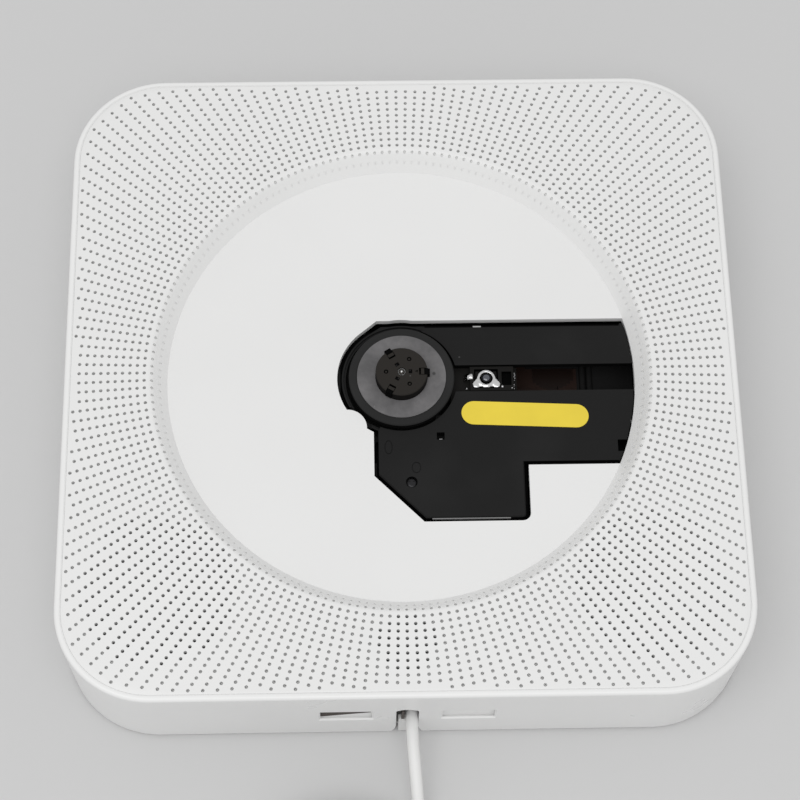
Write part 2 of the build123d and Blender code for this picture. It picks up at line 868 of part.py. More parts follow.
def board_capacitors():
    cans = [
        rod_up(main_board_left + x, main_board_bottom + y, radius, main_board_face, main_board_face + height)
        for x, y, radius, height in capacitor_sizes]
    return Compound([can.solid() for can in cans])


def headphone_jack():
    """Jack socket on the main board's edge, with its collar in the side wall."""
    mouth = half - 0.4
    body_end = half - shell_wall - 0.3
    body_start = mouth - jack_depth - 2.0
    side = jack_body / 2
    jack = block(body_start, body_end, jack_y - side, jack_y + side, jack_z - side, jack_z + side)
    jack += along_x(Pos(jack_y, jack_z) * Circle(jack_collar_radius), body_end, mouth)
    jack -= along_x(Pos(jack_y, jack_z) * Circle(jack_bore), mouth - jack_depth, mouth + 1)
    return jack


# ---------------------------------------------------------------- buttons
def button_x(number):
    return (number - (len(button_names) - 1) / 2) * button_pitch


def button(number):
    """Oblong cap with an inner flange that traps it, and a stem to its switch."""
    place = Pos(button_x(number), button_z)
    cap = along_y(place * SlotOverall(button_length, button_height), button_back, button_face + button_proud)
    cap = chamfer(cap.faces().sort_by(Axis.Y)[-1].edges(), button_bevel)
    flange = SlotOverall(button_length + 2 * button_flange_rim, button_height + 2 * button_flange_rim)
    cap += along_y(place * flange, button_back - button_flange, button_back)
    stem_end = switch_face + switch_plunger + button_travel + 0.2
    return cap + along_y(place * Circle(button_stem_radius), stem_end, button_back)


def button_board():
    return block(-button_board_length / 2, button_board_length / 2,
                 button_board_y - board_thickness, button_board_y,
                 button_z - button_board_height / 2, button_z + button_board_height / 2)


def switches():
    """Push switches behind the buttons, and the one that the pull slider presses."""
    side = switch_size / 2
    group = []
    for number in range(len(button_names)):
        x = button_x(number)
        body = block(x - side, x + side, button_board_y, switch_face, button_z - side, button_z + side)
        plunger = Pos(x, button_z) * Circle(button_stem_radius)
        group.append(body + along_y(plunger, switch_face, switch_face + switch_plunger))
    x = pull_switch_x
    body = block(x - side, x + side, pull_switch_y - switch_depth, pull_switch_y,
                 guide_floor, guide_floor + switch_size)
    plunger = Pos(x, guide_floor + side) * Circle(button_stem_radius)
    group.append(body + along_y(plunger, pull_switch_y, pull_switch_y + switch_plunger))
    return Compound([item.solid() for item in group])


# ---------------------------------------------------------------- pull switch and cord
guide_floor = rear_inside + guide_base
pull_switch_x = cord_x - slider_width / 2 - slider_wing / 2 - guide_gap
pull_switch_y = slider_front - pull_travel - 1.0
slider_back = slider_front + slider_length


def pull_guide():
    """Channel on the rear cover in which the pull slider runs."""
    right = cord_x + slider_width / 2 + guide_gap
    left = pull_switch_x - switch_size / 2
    floor = block(left, right + guide_wall, pull_switch_y - switch_depth, slider_back + 2,
                  rear_inside, guide_floor)
    cheek_top = cord_z + slider_height / 2
    cheek = block(right, right + guide_wall, slider_front - pull_travel, slider_back + 2,
                  guide_floor, cheek_top)
    stop = block(cord_x - slider_width / 2, right, slider_back + guide_gap, slider_back + 2,
                 guide_floor, cheek_top)
    rest = block(cord_x - slider_width / 2, cord_x + slider_width / 2,
                 slider_front - pull_travel, slider_back, guide_floor,
                 cord_z - slider_height / 2 - guide_gap)
    return floor + cheek + stop + rest


def pull_slider():
    """Block that the cord is anchored in, with the wing that presses the switch."""
    body = block(cord_x - slider_width / 2, cord_x + slider_width / 2, slider_front, slider_back,
                 cord_z - slider_height / 2, cord_z + slider_height / 2)
    wing = block(cord_x - slider_width / 2 - slider_wing, cord_x - slider_width / 2,
                 slider_front, slider_front + 3.0, guide_floor + guide_gap, cord_z)
    return body + wing


def cord_relief():
    """Tapered sleeve round the cord where it leaves the slider."""
    taper = Plane.XZ.offset(-slider_front) * Circle(relief_root_radius)
    tip = Plane.XZ.offset(-relief_tip_y) * Circle(cord_radius + 0.3)
    return Pos(cord_x, 0, cord_z) * loft([taper.face(), tip.face()])


def cord_tube():
    """Cord along its route: straight runs joined by tangent arcs."""
    points = [Vector(*p) for p in cord_route]
    radii = []
    for before, here, after in zip(points, points[1:], points[2:]):
        run_in = here - before
        run_out = after - here
        turn = radians(run_in.get_angle(run_out))
        radii.append(0.45 * min(run_in.length, run_out.length) / (sin(turn / 2) / cos(turn / 2)))
    print("cord radii", [round(r, 1) for r in radii])
    path = FilletPolyline(*points, radius=radii)
    section = Plane(origin=points[0], z_dir=points[1] - points[0]) * Circle(cord_radius)
    tube = sweep(section, path=path)
    print("cord volume over section times length",
          round(tube.volume / (pi * cord_radius**2 * path.length), 4))
    return tube


def cord_coil():
    """Outer shape of the coil that the rest of the cord is wound into."""
    ease = cord_radius
    coil = turned([
        (coil_inner, ease), (coil_inner + ease, 0), (coil_outer - ease, 0), (coil_outer, ease),
        (coil_outer, coil_height - ease), (coil_outer - ease, coil_height),
        (coil_inner + ease, coil_height), (coil_inner, coil_height - ease),
    ])
    return Pos(coil_x, coil_y, 0) * coil


def plug_body():
    """Moulded grip of the plug, lying across the coil."""
    back = coil_x + plug_back_offset
    middle_z = coil_height + plug_body_height / 2
    grip = along_x(Pos(coil_y + plug_y_offset, middle_z) * RectangleRounded(
        plug_body_width, plug_body_height, 2.0), back - plug_body_length, back - 6.0)
    neck = Plane.YZ.offset(back - 6.0) * Pos(coil_y + plug_y_offset, middle_z) * Circle(3.4)
    tip = Plane.YZ.offset(back) * Pos(coil_y + plug_y_offset, middle_z) * Circle(cord_radius + 0.4)
    return grip + loft([neck.face(), tip.face()])


def plug_shell():
    """Open metal shell of the plug with its contact tongue."""
    end = coil_x + plug_back_offset - plug_body_length
    place = Pos(coil_y + plug_y_offset, coil_height + plug_body_height / 2)
    outer = place * Rectangle(plug_shell_width, plug_shell_height)
    inner = place * Rectangle(plug_shell_width - 0.8, plug_shell_height - 0.8)
    shell = along_x(outer, end - plug_shell_length, end)
    shell -= along_x(inner, end - plug_shell_length - 1, end - 1.0)
    tongue = place * Pos(0, -0.9) * Rectangle(plug_shell_width - 0.8, 1.9)
    return shell + along_x(tongue, end - plug_shell_length + 0.6, end - 0.5)


# ---------------------------------------------------------------- mechanism cover and chassis
well_radius = turntable_radius + well_clearance


def fan(start, end, reach):
    """Sector from the spindle's axis between two angles."""
    steps = 8
    return polygon([(0, 0)] + [polar(reach, start + (end - start) * step / steps) for step in range(steps + 1)])


def mech_cover():
    """Cover that floats in the cut-out: well, pickup slot, stepped ring, ledge, latch holes."""
    cover = raised(cutout_outline(mech_gap, mech_end_gap), mech_back, mech_top)
    low_edges = cover.faces().sort_by(Axis.Z)[-1].edges().filter_by(lambda edge: edge.center().Y < -cutout_bottom - 1)
    cover = chamfer(low_edges, edge_chamfer)
    cover -= rod_up(0, 0, well_radius, mech_back - 1, mech_top + 1)
    cover -= block(0, dish_radius, -slot_width / 2, slot_width / 2, mech_back - 1, mech_top + 1)
    outer = cutout_ring_radius - mech_gap
    step_sector = fan(ring_step_start, ring_step_end, 2 * outer)
    cover -= raised(step_sector & Circle(outer + 1), mech_top - ring_lip, mech_top + 1)
    cover -= raised(step_sector & Circle(outer - ring_lip_width), mech_top - ring_step, mech_top + 1)
    ledge_top = cutout_top - mech_gap
    cover -= block(0, dish_radius - cover_ledge_inset, ledge_top - cover_ledge_width, ledge_top + 1,
                   mech_top - cover_ledge_depth, mech_top + 1)
    skirt = Circle(outer) - Circle(well_radius)
    skirt &= fan(190, 250, 2 * outer)
    skirt_top = floor_back - skirt_gap
    cover += raised(skirt, skirt_top - skirt_thickness, skirt_top)
    for side in (200.0, 245.0):
        x, y = polar((well_radius + outer) / 2, side)
        cover += raised(skirt & Pos(x, y) * Circle(2.0), skirt_top - skirt_thickness, mech_back + 0.2)
    near = Pos(latch_near_x, latch_near_y) * Rectangle(latch_hole, latch_hole)
    cover -= raised(near, mech_back - 1, mech_top + 1)
    cover -= block(dish_radius - latch_far_inset, dish_radius, latch_far_y - latch_far_width / 2,
                   latch_far_y + latch_far_width / 2, mech_back - 1, mech_top + 1)
    for x, y, width, height in oval_places:
        oval = Ellipse(width / 2, height / 2) - Ellipse(width / 2 - oval_line, height / 2 - oval_line)
        cover -= raised(Pos(x, y) * oval, mech_top - oval_depth, mech_top + 1)
    x, y = cover_screw_place
    cover -= rod_up(x, y, cover_screw_shank + 0.2, mech_back - 1, mech_top + 1)
    cover -= rod_up(x, y, cover_screw_head + 0.25, mech_top - 0.9, mech_top + 1)
    return cover


def yellow_sticker():
    oblong = Pos(sticker_x, sticker_y) * Rot(0, 0, sticker_turn) * SlotOverall(sticker_length, sticker_width)
    return raised(oblong, mech_top, mech_top + sticker_thickness)


def chassis_outline(inset):
    """Outline of the chassis tray, drawn in by inset."""
    main = Pos((chassis_right - chassis_left) / 2, (chassis_top - chassis_bottom) / 2) * RectangleRounded(
        chassis_right + chassis_left - 2 * inset, chassis_top + chassis_bottom - 2 * inset, 3.0)
    lobe_top = chassis_bottom - 6
    lobe = Pos((chassis_lobe_right - chassis_lobe_left) / 2, -(chassis_lobe_bottom + lobe_top) / 2)
    lobe *= RectangleRounded(chassis_lobe_right + chassis_lobe_left - 2 * inset,
                             chassis_lobe_bottom - lobe_top - 2 * inset + 6, 3.0)
    return main + Pos(0, 3) * lobe


def mech_chassis():
    """Tray that carries motors, rods and gears, with a tab for each damper."""
    tray = raised(chassis_outline(0), chassis_back, mech_back)
    tray -= raised(chassis_outline(chassis_wall), chassis_inside, mech_back + 1)
    for x, y in damper_places:
        inner_x = min(max(x, -chassis_left + 3), chassis_right - 3)
        inner_y = min(max(y, -chassis_bottom + 3), chassis_top - 3)
        arm = Plane(origin=((x + inner_x) / 2, (y + inner_y) / 2, chassis_back))
        reach = sqrt((x - inner_x)**2 + (y - inner_y)**2)
        bar = arm * Rot(0, 0, degrees(atan2(y - inner_y, x - inner_x))) * Rectangle(reach, 2 * tab_radius)
        tray += extrude(bar, chassis_floor)
        tray += rod_up(x, y, tab_radius, chassis_back, chassis_inside)
        tray -= rod_up(x, y, damper_waist + 0.15, chassis_back - 1, chassis_inside + 1)
        room = rod_up(x, y, tab_radius, chassis_inside, mech_back + 1)
        tray -= room
    tray += block(pan_left - chassis_wall, chassis_right, -pan_half_width - chassis_wall,
                  pan_half_width + chassis_wall, pan_floor - chassis_floor, chassis_back)
    tray -= block(pan_left, chassis_right - chassis_wall, -pan_half_width, pan_half_width,
                  pan_floor, chassis_inside + 1)
    for x in pan_rib_places:
        rib = Pos(x, pan_floor) * Circle(pan_rib_radius)
        tray += along_y(rib, -pan_half_width - 0.2, pan_half_width + 0.2)
    tray -= block(flex_x - flex_width / 2 - 0.3, flex_x + flex_width / 2 + 0.3, pan_half_width - 1,
                  pan_half_width + chassis_wall + 1, pan_floor, pan_floor + 5 * flex_thickness)
    for y, radius in ((rod_y, rod_radius), (rail_y, rail_radius)):
        tray += block(bracket_left, bracket_left + bracket_width, y - radius - bracket_margin,
                      y + radius + bracket_margin, chassis_inside, rod_z + radius + bracket_margin)
        rod = Pos(y, rod_z) * Circle(radius)
        tray -= along_x(rod, bracket_left, chassis_right)
    for x, y in ((0, 0), (sled_motor_x, sled_motor_y)):
        tray -= rod_up(x, y, motor_boss_radius + 0.1, chassis_back - 1, chassis_inside + 1)
    for x, y in motor_screw_places():
        tray -= rod_up(x, y, 1.1, chassis_back - 1, chassis_inside + 1)
    tray += rod_up(drive_gear_x, drive_gear_y, gear_pin_radius, chassis_inside, mech_back - 0.5)
    x, y = cover_screw_place
    tray += rod_up(x, y, 2.2, chassis_inside, mech_back)
    tray -= rod_up(x, y, cover_screw_shank + 0.05, chassis_inside + 1, mech_back + 1)
    return tray


def motor_screw_places():
    """Two screws for each motor, clear of the drive gear."""
    places = [polar(motor_screw_circle, 90), polar(motor_screw_circle, -90)]
    for angle in (sled_motor_angle - 90, sled_motor_angle + 90):
        dx, dy = polar(motor_screw_circle, angle)
        places.append((sled_motor_x + dx, sled_motor_y + dy))
    return places


def mech_screws():
    """The cover's screw and the four motor screws."""
    x, y = cover_screw_place
    screws = [screw(x, y, cover_screw_shank, 5.0, cover_screw_head, 0.75, mech_top - 0.9)]
    for x, y in motor_screw_places():
        screws.append(screw(x, y, 1.0, chassis_floor + 2.0, 1.7, 0.9, chassis_inside))
    return Compound([item.solid() for item in screws])


def mech_dampers():
    """Rubber spools that the chassis floats on."""
    top = chassis_inside + damper_play + damper_flange
    low = chassis_back - damper_play - damper_flange
    spool = turned([
        (damper_bore, top), (damper_radius - 0.5, top), (damper_radius, top - damper_flange / 2),
        (damper_radius - 0.4, top - damper_flange), (damper_waist, top - damper_flange),
        (damper_waist, low + damper_flange), (damper_radius - 0.4, low + damper_flange),
        (damper_radius, low + damper_flange / 2), (damper_radius - 0.5, low), (damper_bore, low),
    ])
    return Compound([(Pos(x, y, 0) * spool).solid() for x, y in damper_places])


def damper_screws():
    low = chassis_back - damper_play - damper_flange
    length = floor_back - low - 2
    return Compound([
        screw(x, y, damper_shank, length, damper_head_radius, damper_head_height, low, down=False).solid()
        for x, y in damper_places])


def motor(x, y):
    """Flat round motor hung under the chassis, with blind holes for shaft and screws."""
    low = chassis_back - motor_height
    can = rod_up(x, y, motor_radius, low, chassis_back)
    can = chamfer(can.faces().sort_by(Axis.Z)[0].edges(), 0.8)
    can += rod_up(x, y, motor_boss_radius, chassis_back, chassis_back + motor_boss_height)
    can -= rod_up(x, y, shaft_radius + running_gap, low + 1.0, chassis_inside + 1)
    return can


def spindle_motor():
    can = motor(0, 0)
    for x, y in motor_screw_places()[:2]:
        can -= rod_up(x, y, 1.05, chassis_back - 2.5, chassis_back + 1)
    return can


def sled_motor():
    can = motor(sled_motor_x, sled_motor_y)
    for x, y in motor_screw_places()[2:]:
        can -= rod_up(x, y, 1.05, chassis_back - 2.5, chassis_back + 1)
    return can


# ---------------------------------------------------------------- turntable and hub
def spindle_shaft():
    return rod_up(0, 0, shaft_radius, chassis_back - motor_height + 1.3, hub_top - shaft_tip_sink)


def turntable():
    bore = shaft_radius + shaft_seat_gap
    recess = pad_radius + pad_gap
    return turned([
        (bore, pad_seat), (recess, pad_seat), (recess, turntable_top),
        (turntable_radius - 0.3, turntable_top), (turntable_radius, turntable_top - 0.3),
        (turntable_radius, turntable_back), (turntable_boss_radius, turntable_back),
        (turntable_boss_radius, turntable_back - turntable_boss_height),
        (bore, turntable_back - turntable_boss_height),
    ])


def turntable_pad():
    ring = Circle(pad_radius) - Circle(hub_radius + pad_gap)
    return raised(ring, pad_seat, pad_top)


def hub():
    """Centre boss with three claw slots, dimples and windows."""
    bore = shaft_radius + shaft_seat_gap
    stem = hub_radius - hub_undercut
    boss = turned([
        (bore, pad_seat), (stem, pad_seat), (stem, hub_collar), (hub_radius, hub_collar),
        (hub_radius, hub_top - hub_bevel), (hub_radius - hub_bevel, hub_top), (bore, hub_top),
    ])
    boss -= rod_up(0, 0, hub_recess_radius, hub_top - hub_mark_depth, hub_top + 1)
    slot_reach = hub_radius - claw_length - claw_travel - claw_gap + claw_proud
    slot_side = claw_width / 2 + claw_gap
    for number in range(claw_count):
        angle = 360 * number / claw_count
        turn = Rot(0, 0, angle)
        boss -= turn * block(slot_reach, hub_radius + 1, -slot_side, slot_side, claw_floor, hub_top + 1)
        window = turn * Pos(hub_window_circle, 0) * Rectangle(hub_window, hub_window)
        boss -= raised(window, hub_top - hub_mark_depth, hub_top + 1)
        x, y = polar(hub_dimple_circle, angle + 180 / claw_count)
        boss -= rod_up(x, y, hub_dimple_radius, hub_top - hub_mark_depth, hub_top + 1)
        boss -= rod_up(x, y, hub_dot_radius, hub_top - hub_dot_depth, hub_top + 1)
    tail = slot_reach - 0.3
    arrow = polygon([(tail - hub_arrow_length, 0), (tail, -hub_arrow_length / 2), (tail, hub_arrow_length / 2)])
    return boss - raised(arrow, hub_top - hub_mark_depth, hub_top + 1)


def hub_claw(number):
    """Sprung claw with a rounded nose that grips the disc's bore."""
    nose = hub_radius + claw_proud
    back = nose - claw_length
    low = claw_floor + claw_gap
    profile = polygon([
        (back, low), (nose - 0.5, low), (nose, low + 0.45 * claw_height),
        (nose - 0.25, hub_top - 0.3), (nose - 0.9, hub_top - 0.05), (back, hub_top - 0.05),
    ])
    claw = along_y(profile, -claw_width / 2, claw_width / 2)
    return Rot(0, 0, 360 * number / claw_count) * claw


# ---------------------------------------------------------------- pickup
def sled():
    """Sled block with its bush, its fork, its raised neck and the optics under it."""
    body = block(sled_left, sled_right, -sled_half_width, sled_half_width, sled_back, sled_top)
    neck_half = slot_width / 2 - neck_side_gap
    body += block(neck_left, neck_right, -neck_half, neck_half, sled_top, neck_top)
    body += block(optics_left, optics_right, -optics_half_width, optics_half_width,
                  sled_back - optics_depth, sled_back)
    rod = Pos(rod_y, rod_z) * Circle(rod_radius + running_gap)
    body -= along_x(rod, sled_left - 1, sled_right + 1)
    rail = Pos(rail_y, rod_z) * Circle(rail_radius + running_gap)
    body -= along_x(rail, sled_left - 1, sled_right + 1)
    side = rail_radius + running_gap
    body -= block(sled_left - 1, sled_right + 1, rail_y - side, rail_y + side, sled_back - 1, rod_z)
    body -= block(neck_pocket_left, neck_right - 0.6, -neck_pocket_half_width, neck_pocket_half_width,
                  neck_top - neck_pocket_depth, neck_top + 1)
    body -= block(lens_rest_x - holder_half_length - holder_gap, lens_rest_x + holder_half_length + holder_gap,
                  -holder_half_width - holder_gap, holder_half_width + holder_gap,
                  holder_back - focus_travel - 0.3, neck_top + 1)
    return body


def lens_cover():
    """Bell-shaped metal plate over the lens holder: an arch that flares into three lobes."""
    outline = Circle(bell_radius) + polygon([
        (-bell_radius * 0.8, bell_radius * 0.6), (-bell_radius, 0), (-bell_half_width + 0.35, -0.8),
        (-bell_half_width + bell_lobe_radius, -bell_shoulder), (0, -bell_skirt + bell_middle_radius),
        (bell_half_width - bell_lobe_radius, -bell_shoulder), (bell_half_width - 0.35, -0.8),
        (bell_radius, 0), (bell_radius * 0.8, bell_radius * 0.6),
    ])
    for side in (-1, 1):
        lobe_x = side * (bell_half_width - bell_lobe_radius)
        outline += Pos(lobe_x, bell_lobe_radius - bell_skirt) * Circle(bell_lobe_radius)
    outline += Pos(bell_middle_offset, bell_middle_radius - bell_skirt) * Circle(bell_middle_radius)
    outline -= Circle(lens_window_radius)
    return raised(Pos(lens_rest_x, 0) * outline, neck_top, lens_cover_top)


def lens_holder():
    """Block on the focus wires, with the lens barrel."""
    body = block(lens_rest_x - holder_half_length, lens_rest_x + holder_half_length,
                 -holder_half_width, holder_half_width, holder_back, holder_top)
    body += rod_up(lens_rest_x, 0, barrel_radius, holder_top, barrel_top)
    body -= rod_up(lens_rest_x, 0, lens_radius + 0.02, lens_top - lens_thickness, barrel_top + 1)
    return body


def lens():
    low = lens_top - lens_thickness
    dome = turned([
        (0, low), (lens_radius, low), (lens_radius, lens_top - 0.35), (0.8 * lens_radius, lens_top - 0.15),
        (0.45 * lens_radius, lens_top - 0.03), (0, lens_top),
    ])
    return Pos(lens_rest_x, 0, 0) * dome


def guide_rod(y, radius):
    bar = Pos(y, rod_z) * Circle(radius - 0.01)
    return along_x(bar, bracket_left, chassis_right - 0.4)


# ---------------------------------------------------------------- sled drive
def tooth_widths():
    """Half widths of a tooth at its tip, pitch line and root."""
    at_pitch = (pi * gear_module / 2 - backlash) / 2
    return at_pitch - 0.36 * gear_module, at_pitch + 0.16 * gear_module


def gear_outline(teeth, phase):
    """Spur gear with flat-sided teeth. One tooth is centred on the angle phase."""
    pitch = gear_module * teeth / 2
    tip = pitch + 0.9 * gear_module
    root = pitch - 1.2 * gear_module
    tip_half, root_half = tooth_widths()
    points = []
    for number in range(teeth):
        middle = phase + 360 * number / teeth
        for radius, width in ((root, -root_half), (tip, -tip_half), (tip, tip_half), (root, root_half)):
            points.append(polar(radius, middle + degrees(width / radius)))
    return polygon(points)


def drive_gear():
    """Large wheel and the small pinion that meets the rack, in one moulding."""
    place = Pos(drive_gear_x, drive_gear_y, 0)
    gear = place * raised(gear_outline(wheel_teeth, sled_motor_angle), wheel_back, wheel_top)
    gear += place * raised(gear_outline(pinion_teeth, 90 + 180 / pinion_teeth), wheel_top,
                           wheel_top + pinion_height)
    return gear - rod_up(drive_gear_x, drive_gear_y, gear_pin_radius + running_gap, wheel_back - 1, front)


def motor_pinion():
    """Pinion on the sled motor's shaft."""
    phase = sled_motor_angle + 180 + 180 / pinion_teeth
    outline = gear_outline(pinion_teeth, phase)
    pinion = Pos(sled_motor_x, sled_motor_y, 0) * raised(outline, wheel_back, wheel_back + motor_pinion_height)
    return pinion + rod_up(sled_motor_x, sled_motor_y, shaft_radius,
                           chassis_back - motor_height + 1.3, wheel_back)


def sled_rack():
    """Toothed bar on the side of the sled, long enough for the whole travel."""
    pitch = pi * gear_module
    root = rack_pitch_y + 1.2 * gear_module
    tip = rack_pitch_y - 0.9 * gear_module
    tip_half, root_half = tooth_widths()
    count = int(sled_travel / pitch) + 3
    start = drive_gear_x + 1.5 * pitch
    end = drive_gear_x - (count + 0.5) * pitch
    points = [(end, root), (end, -sled_half_width), (start, -sled_half_width), (start, root)]
    for number in range(-1, count + 1):
        x = drive_gear_x - number * pitch
        points += [(x + root_half, root), (x + tip_half, tip), (x - tip_half, tip), (x - root_half, root)]
    return raised(polygon(points), rack_top - rack_height, rack_top)


# ---------------------------------------------------------------- flex cable
flex_x = 32.0
flex_width = 9.0
flex_thickness = 0.3
flex_pan_right = 51.5


def flex_cable():
    """Ribbon that lies in the chassis pan below the pickup and leaves it down to its socket."""
    low = pan_floor
    socket = main_board_face + socket_height
    y_end = main_board_bottom + socket_inset
    path = [(optics_half_width, low), (14.0, low), (20.0, low - 2.0),
            (24.0, socket + 3.0), (y_end - 4.0, socket), (y_end + 2.0, socket)]
    top = [(y, z + flex_thickness) for y, z in path]
    left = flex_x - flex_width / 2
    tail = along_x(polygon(path + top[::-1]), left, left + flex_width)
    return tail + block(left, flex_pan_right, -optics_half_width, optics_half_width, low, low + flex_thickness)


# ---------------------------------------------------------------- all pieces
def build():
    os.makedirs("parts", exist_ok=True)
    write("front_panel", front_panel())
    write("side_shell", side_shell())
    write("disc_floor", disc_floor())
    write("rear_cover", rear_cover())
    write("rubber_feet", rubber_feet())
    write("housing_screws", housing_screws())
    for name, side in (("left", -1), ("right", 1)):
        write(f"speaker_frame_{name}", speaker_frame(side))
        write(f"speaker_cone_{name}", speaker_cone(side))
        write(f"speaker_magnet_{name}", speaker_magnet(side))
    write("sensor_board", sensor_board())
    write("remote_sensor", remote_sensor())
    write("main_board", main_board())
    write("board_screws", board_screws())
    write("board_chips", board_chips())
    write("board_capacitors", board_capacitors())
    write("headphone_jack", headphone_jack())
    for number, name in enumerate(button_names):
        write(f"button_{name}", button(number))
    write("button_board", button_board())
    write("push_switches", switches())
    write("pull_guide", pull_guide())
    write("pull_slider", pull_slider())
    write("cord_relief", cord_relief())
    write("cord", cord_tube())
    write("cord_coil", cord_coil())
    write("plug_body", plug_body())
    write("plug_shell", plug_shell())
    write("mech_cover", mech_cover())
    write("yellow_sticker", yellow_sticker())
    write("mech_chassis", mech_chassis())
    write("mech_screws", mech_screws())
    write("mech_dampers", mech_dampers())
    write("damper_screws", damper_screws())
    write("spindle_motor", spindle_motor())
    write("sled_motor", sled_motor())
    write("spindle_shaft", spindle_shaft())
    write("turntable", turntable())
    write("turntable_pad", turntable_pad())
    write("hub", hub())
    for number in range(claw_count):
        write(f"hub_claw_{number + 1}", hub_claw(number))
    write("sled", sled())
    write("lens_cover", lens_cover())
    write("lens_holder", lens_holder())
    write("lens", lens())
    write("guide_rod", guide_rod(rod_y, rod_radius))
    write("guide_rail", guide_rod(rail_y, rail_radius))
    write("drive_gear", drive_gear())
    write("motor_pinion", motor_pinion())
    write("sled_rack", sled_rack())
    write("flex_cable", flex_cable())


build()
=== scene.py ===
"""Looks of the square wall-hung disc player: panel, materials, cord, light and camera.

Lengths are in metres, in the part's own frame. MM turns millimetres into metres.
"""

import json
from math import atan2, ceil, cos, hypot, pi, radians, sin, sqrt, tan

import bpy
from mathutils import Matrix, Vector
from mathutils.geometry import delaunay_2d_cdt


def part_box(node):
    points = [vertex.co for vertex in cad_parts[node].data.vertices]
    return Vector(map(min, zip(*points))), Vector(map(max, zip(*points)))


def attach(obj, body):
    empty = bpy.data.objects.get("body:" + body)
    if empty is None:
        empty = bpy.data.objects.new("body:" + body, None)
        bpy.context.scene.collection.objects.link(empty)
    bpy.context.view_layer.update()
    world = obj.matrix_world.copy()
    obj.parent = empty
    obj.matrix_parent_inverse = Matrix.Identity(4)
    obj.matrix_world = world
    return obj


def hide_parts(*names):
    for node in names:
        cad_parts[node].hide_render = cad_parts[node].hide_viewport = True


MM = 0.001

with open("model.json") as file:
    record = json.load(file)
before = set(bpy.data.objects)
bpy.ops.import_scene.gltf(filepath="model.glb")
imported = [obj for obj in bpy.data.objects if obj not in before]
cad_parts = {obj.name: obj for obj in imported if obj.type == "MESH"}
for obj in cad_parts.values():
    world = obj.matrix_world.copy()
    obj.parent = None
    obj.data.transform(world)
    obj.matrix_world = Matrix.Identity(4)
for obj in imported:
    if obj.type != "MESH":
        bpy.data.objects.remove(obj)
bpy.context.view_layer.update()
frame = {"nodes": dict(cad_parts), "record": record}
nodes = frame["nodes"]


# ---------------------------------------------------------------- places read from the frame
def corner(node, which):
    """Lowest (0) or highest (1) corner of a CAD node."""
    return Vector(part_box(node)[which])


front = corner("front_panel", 1).z
panel_half = corner("front_panel", 1).x
dish_floor = corner("disc_floor", 1).z

# ---------------------------------------------------------------- camera
CAMERA_PLACE = Vector((-11.866, -243.348, 588.443)) * MM
CAMERA_AIM = Vector((-0.658, -9.282, 35.8)) * MM
CAMERA_ROLL = radians(1.795)
SENSOR_WIDTH = 36.0
LENS = 96.337


def add_camera():
    data = bpy.data.cameras.new("photo_camera")
    data.sensor_width = SENSOR_WIDTH
    data.lens = LENS
    data.clip_start = 0.01
    data.clip_end = 20.0
    camera = bpy.data.objects.new("photo_camera", data)
    bpy.context.scene.collection.objects.link(camera)
    turn = (CAMERA_AIM - CAMERA_PLACE).to_track_quat("-Z", "Y").to_matrix()
    turn = turn @ Matrix.Rotation(CAMERA_ROLL, 3, "Z")
    camera.matrix_world = Matrix.Translation(CAMERA_PLACE) @ turn.to_4x4()
    bpy.context.scene.camera = camera


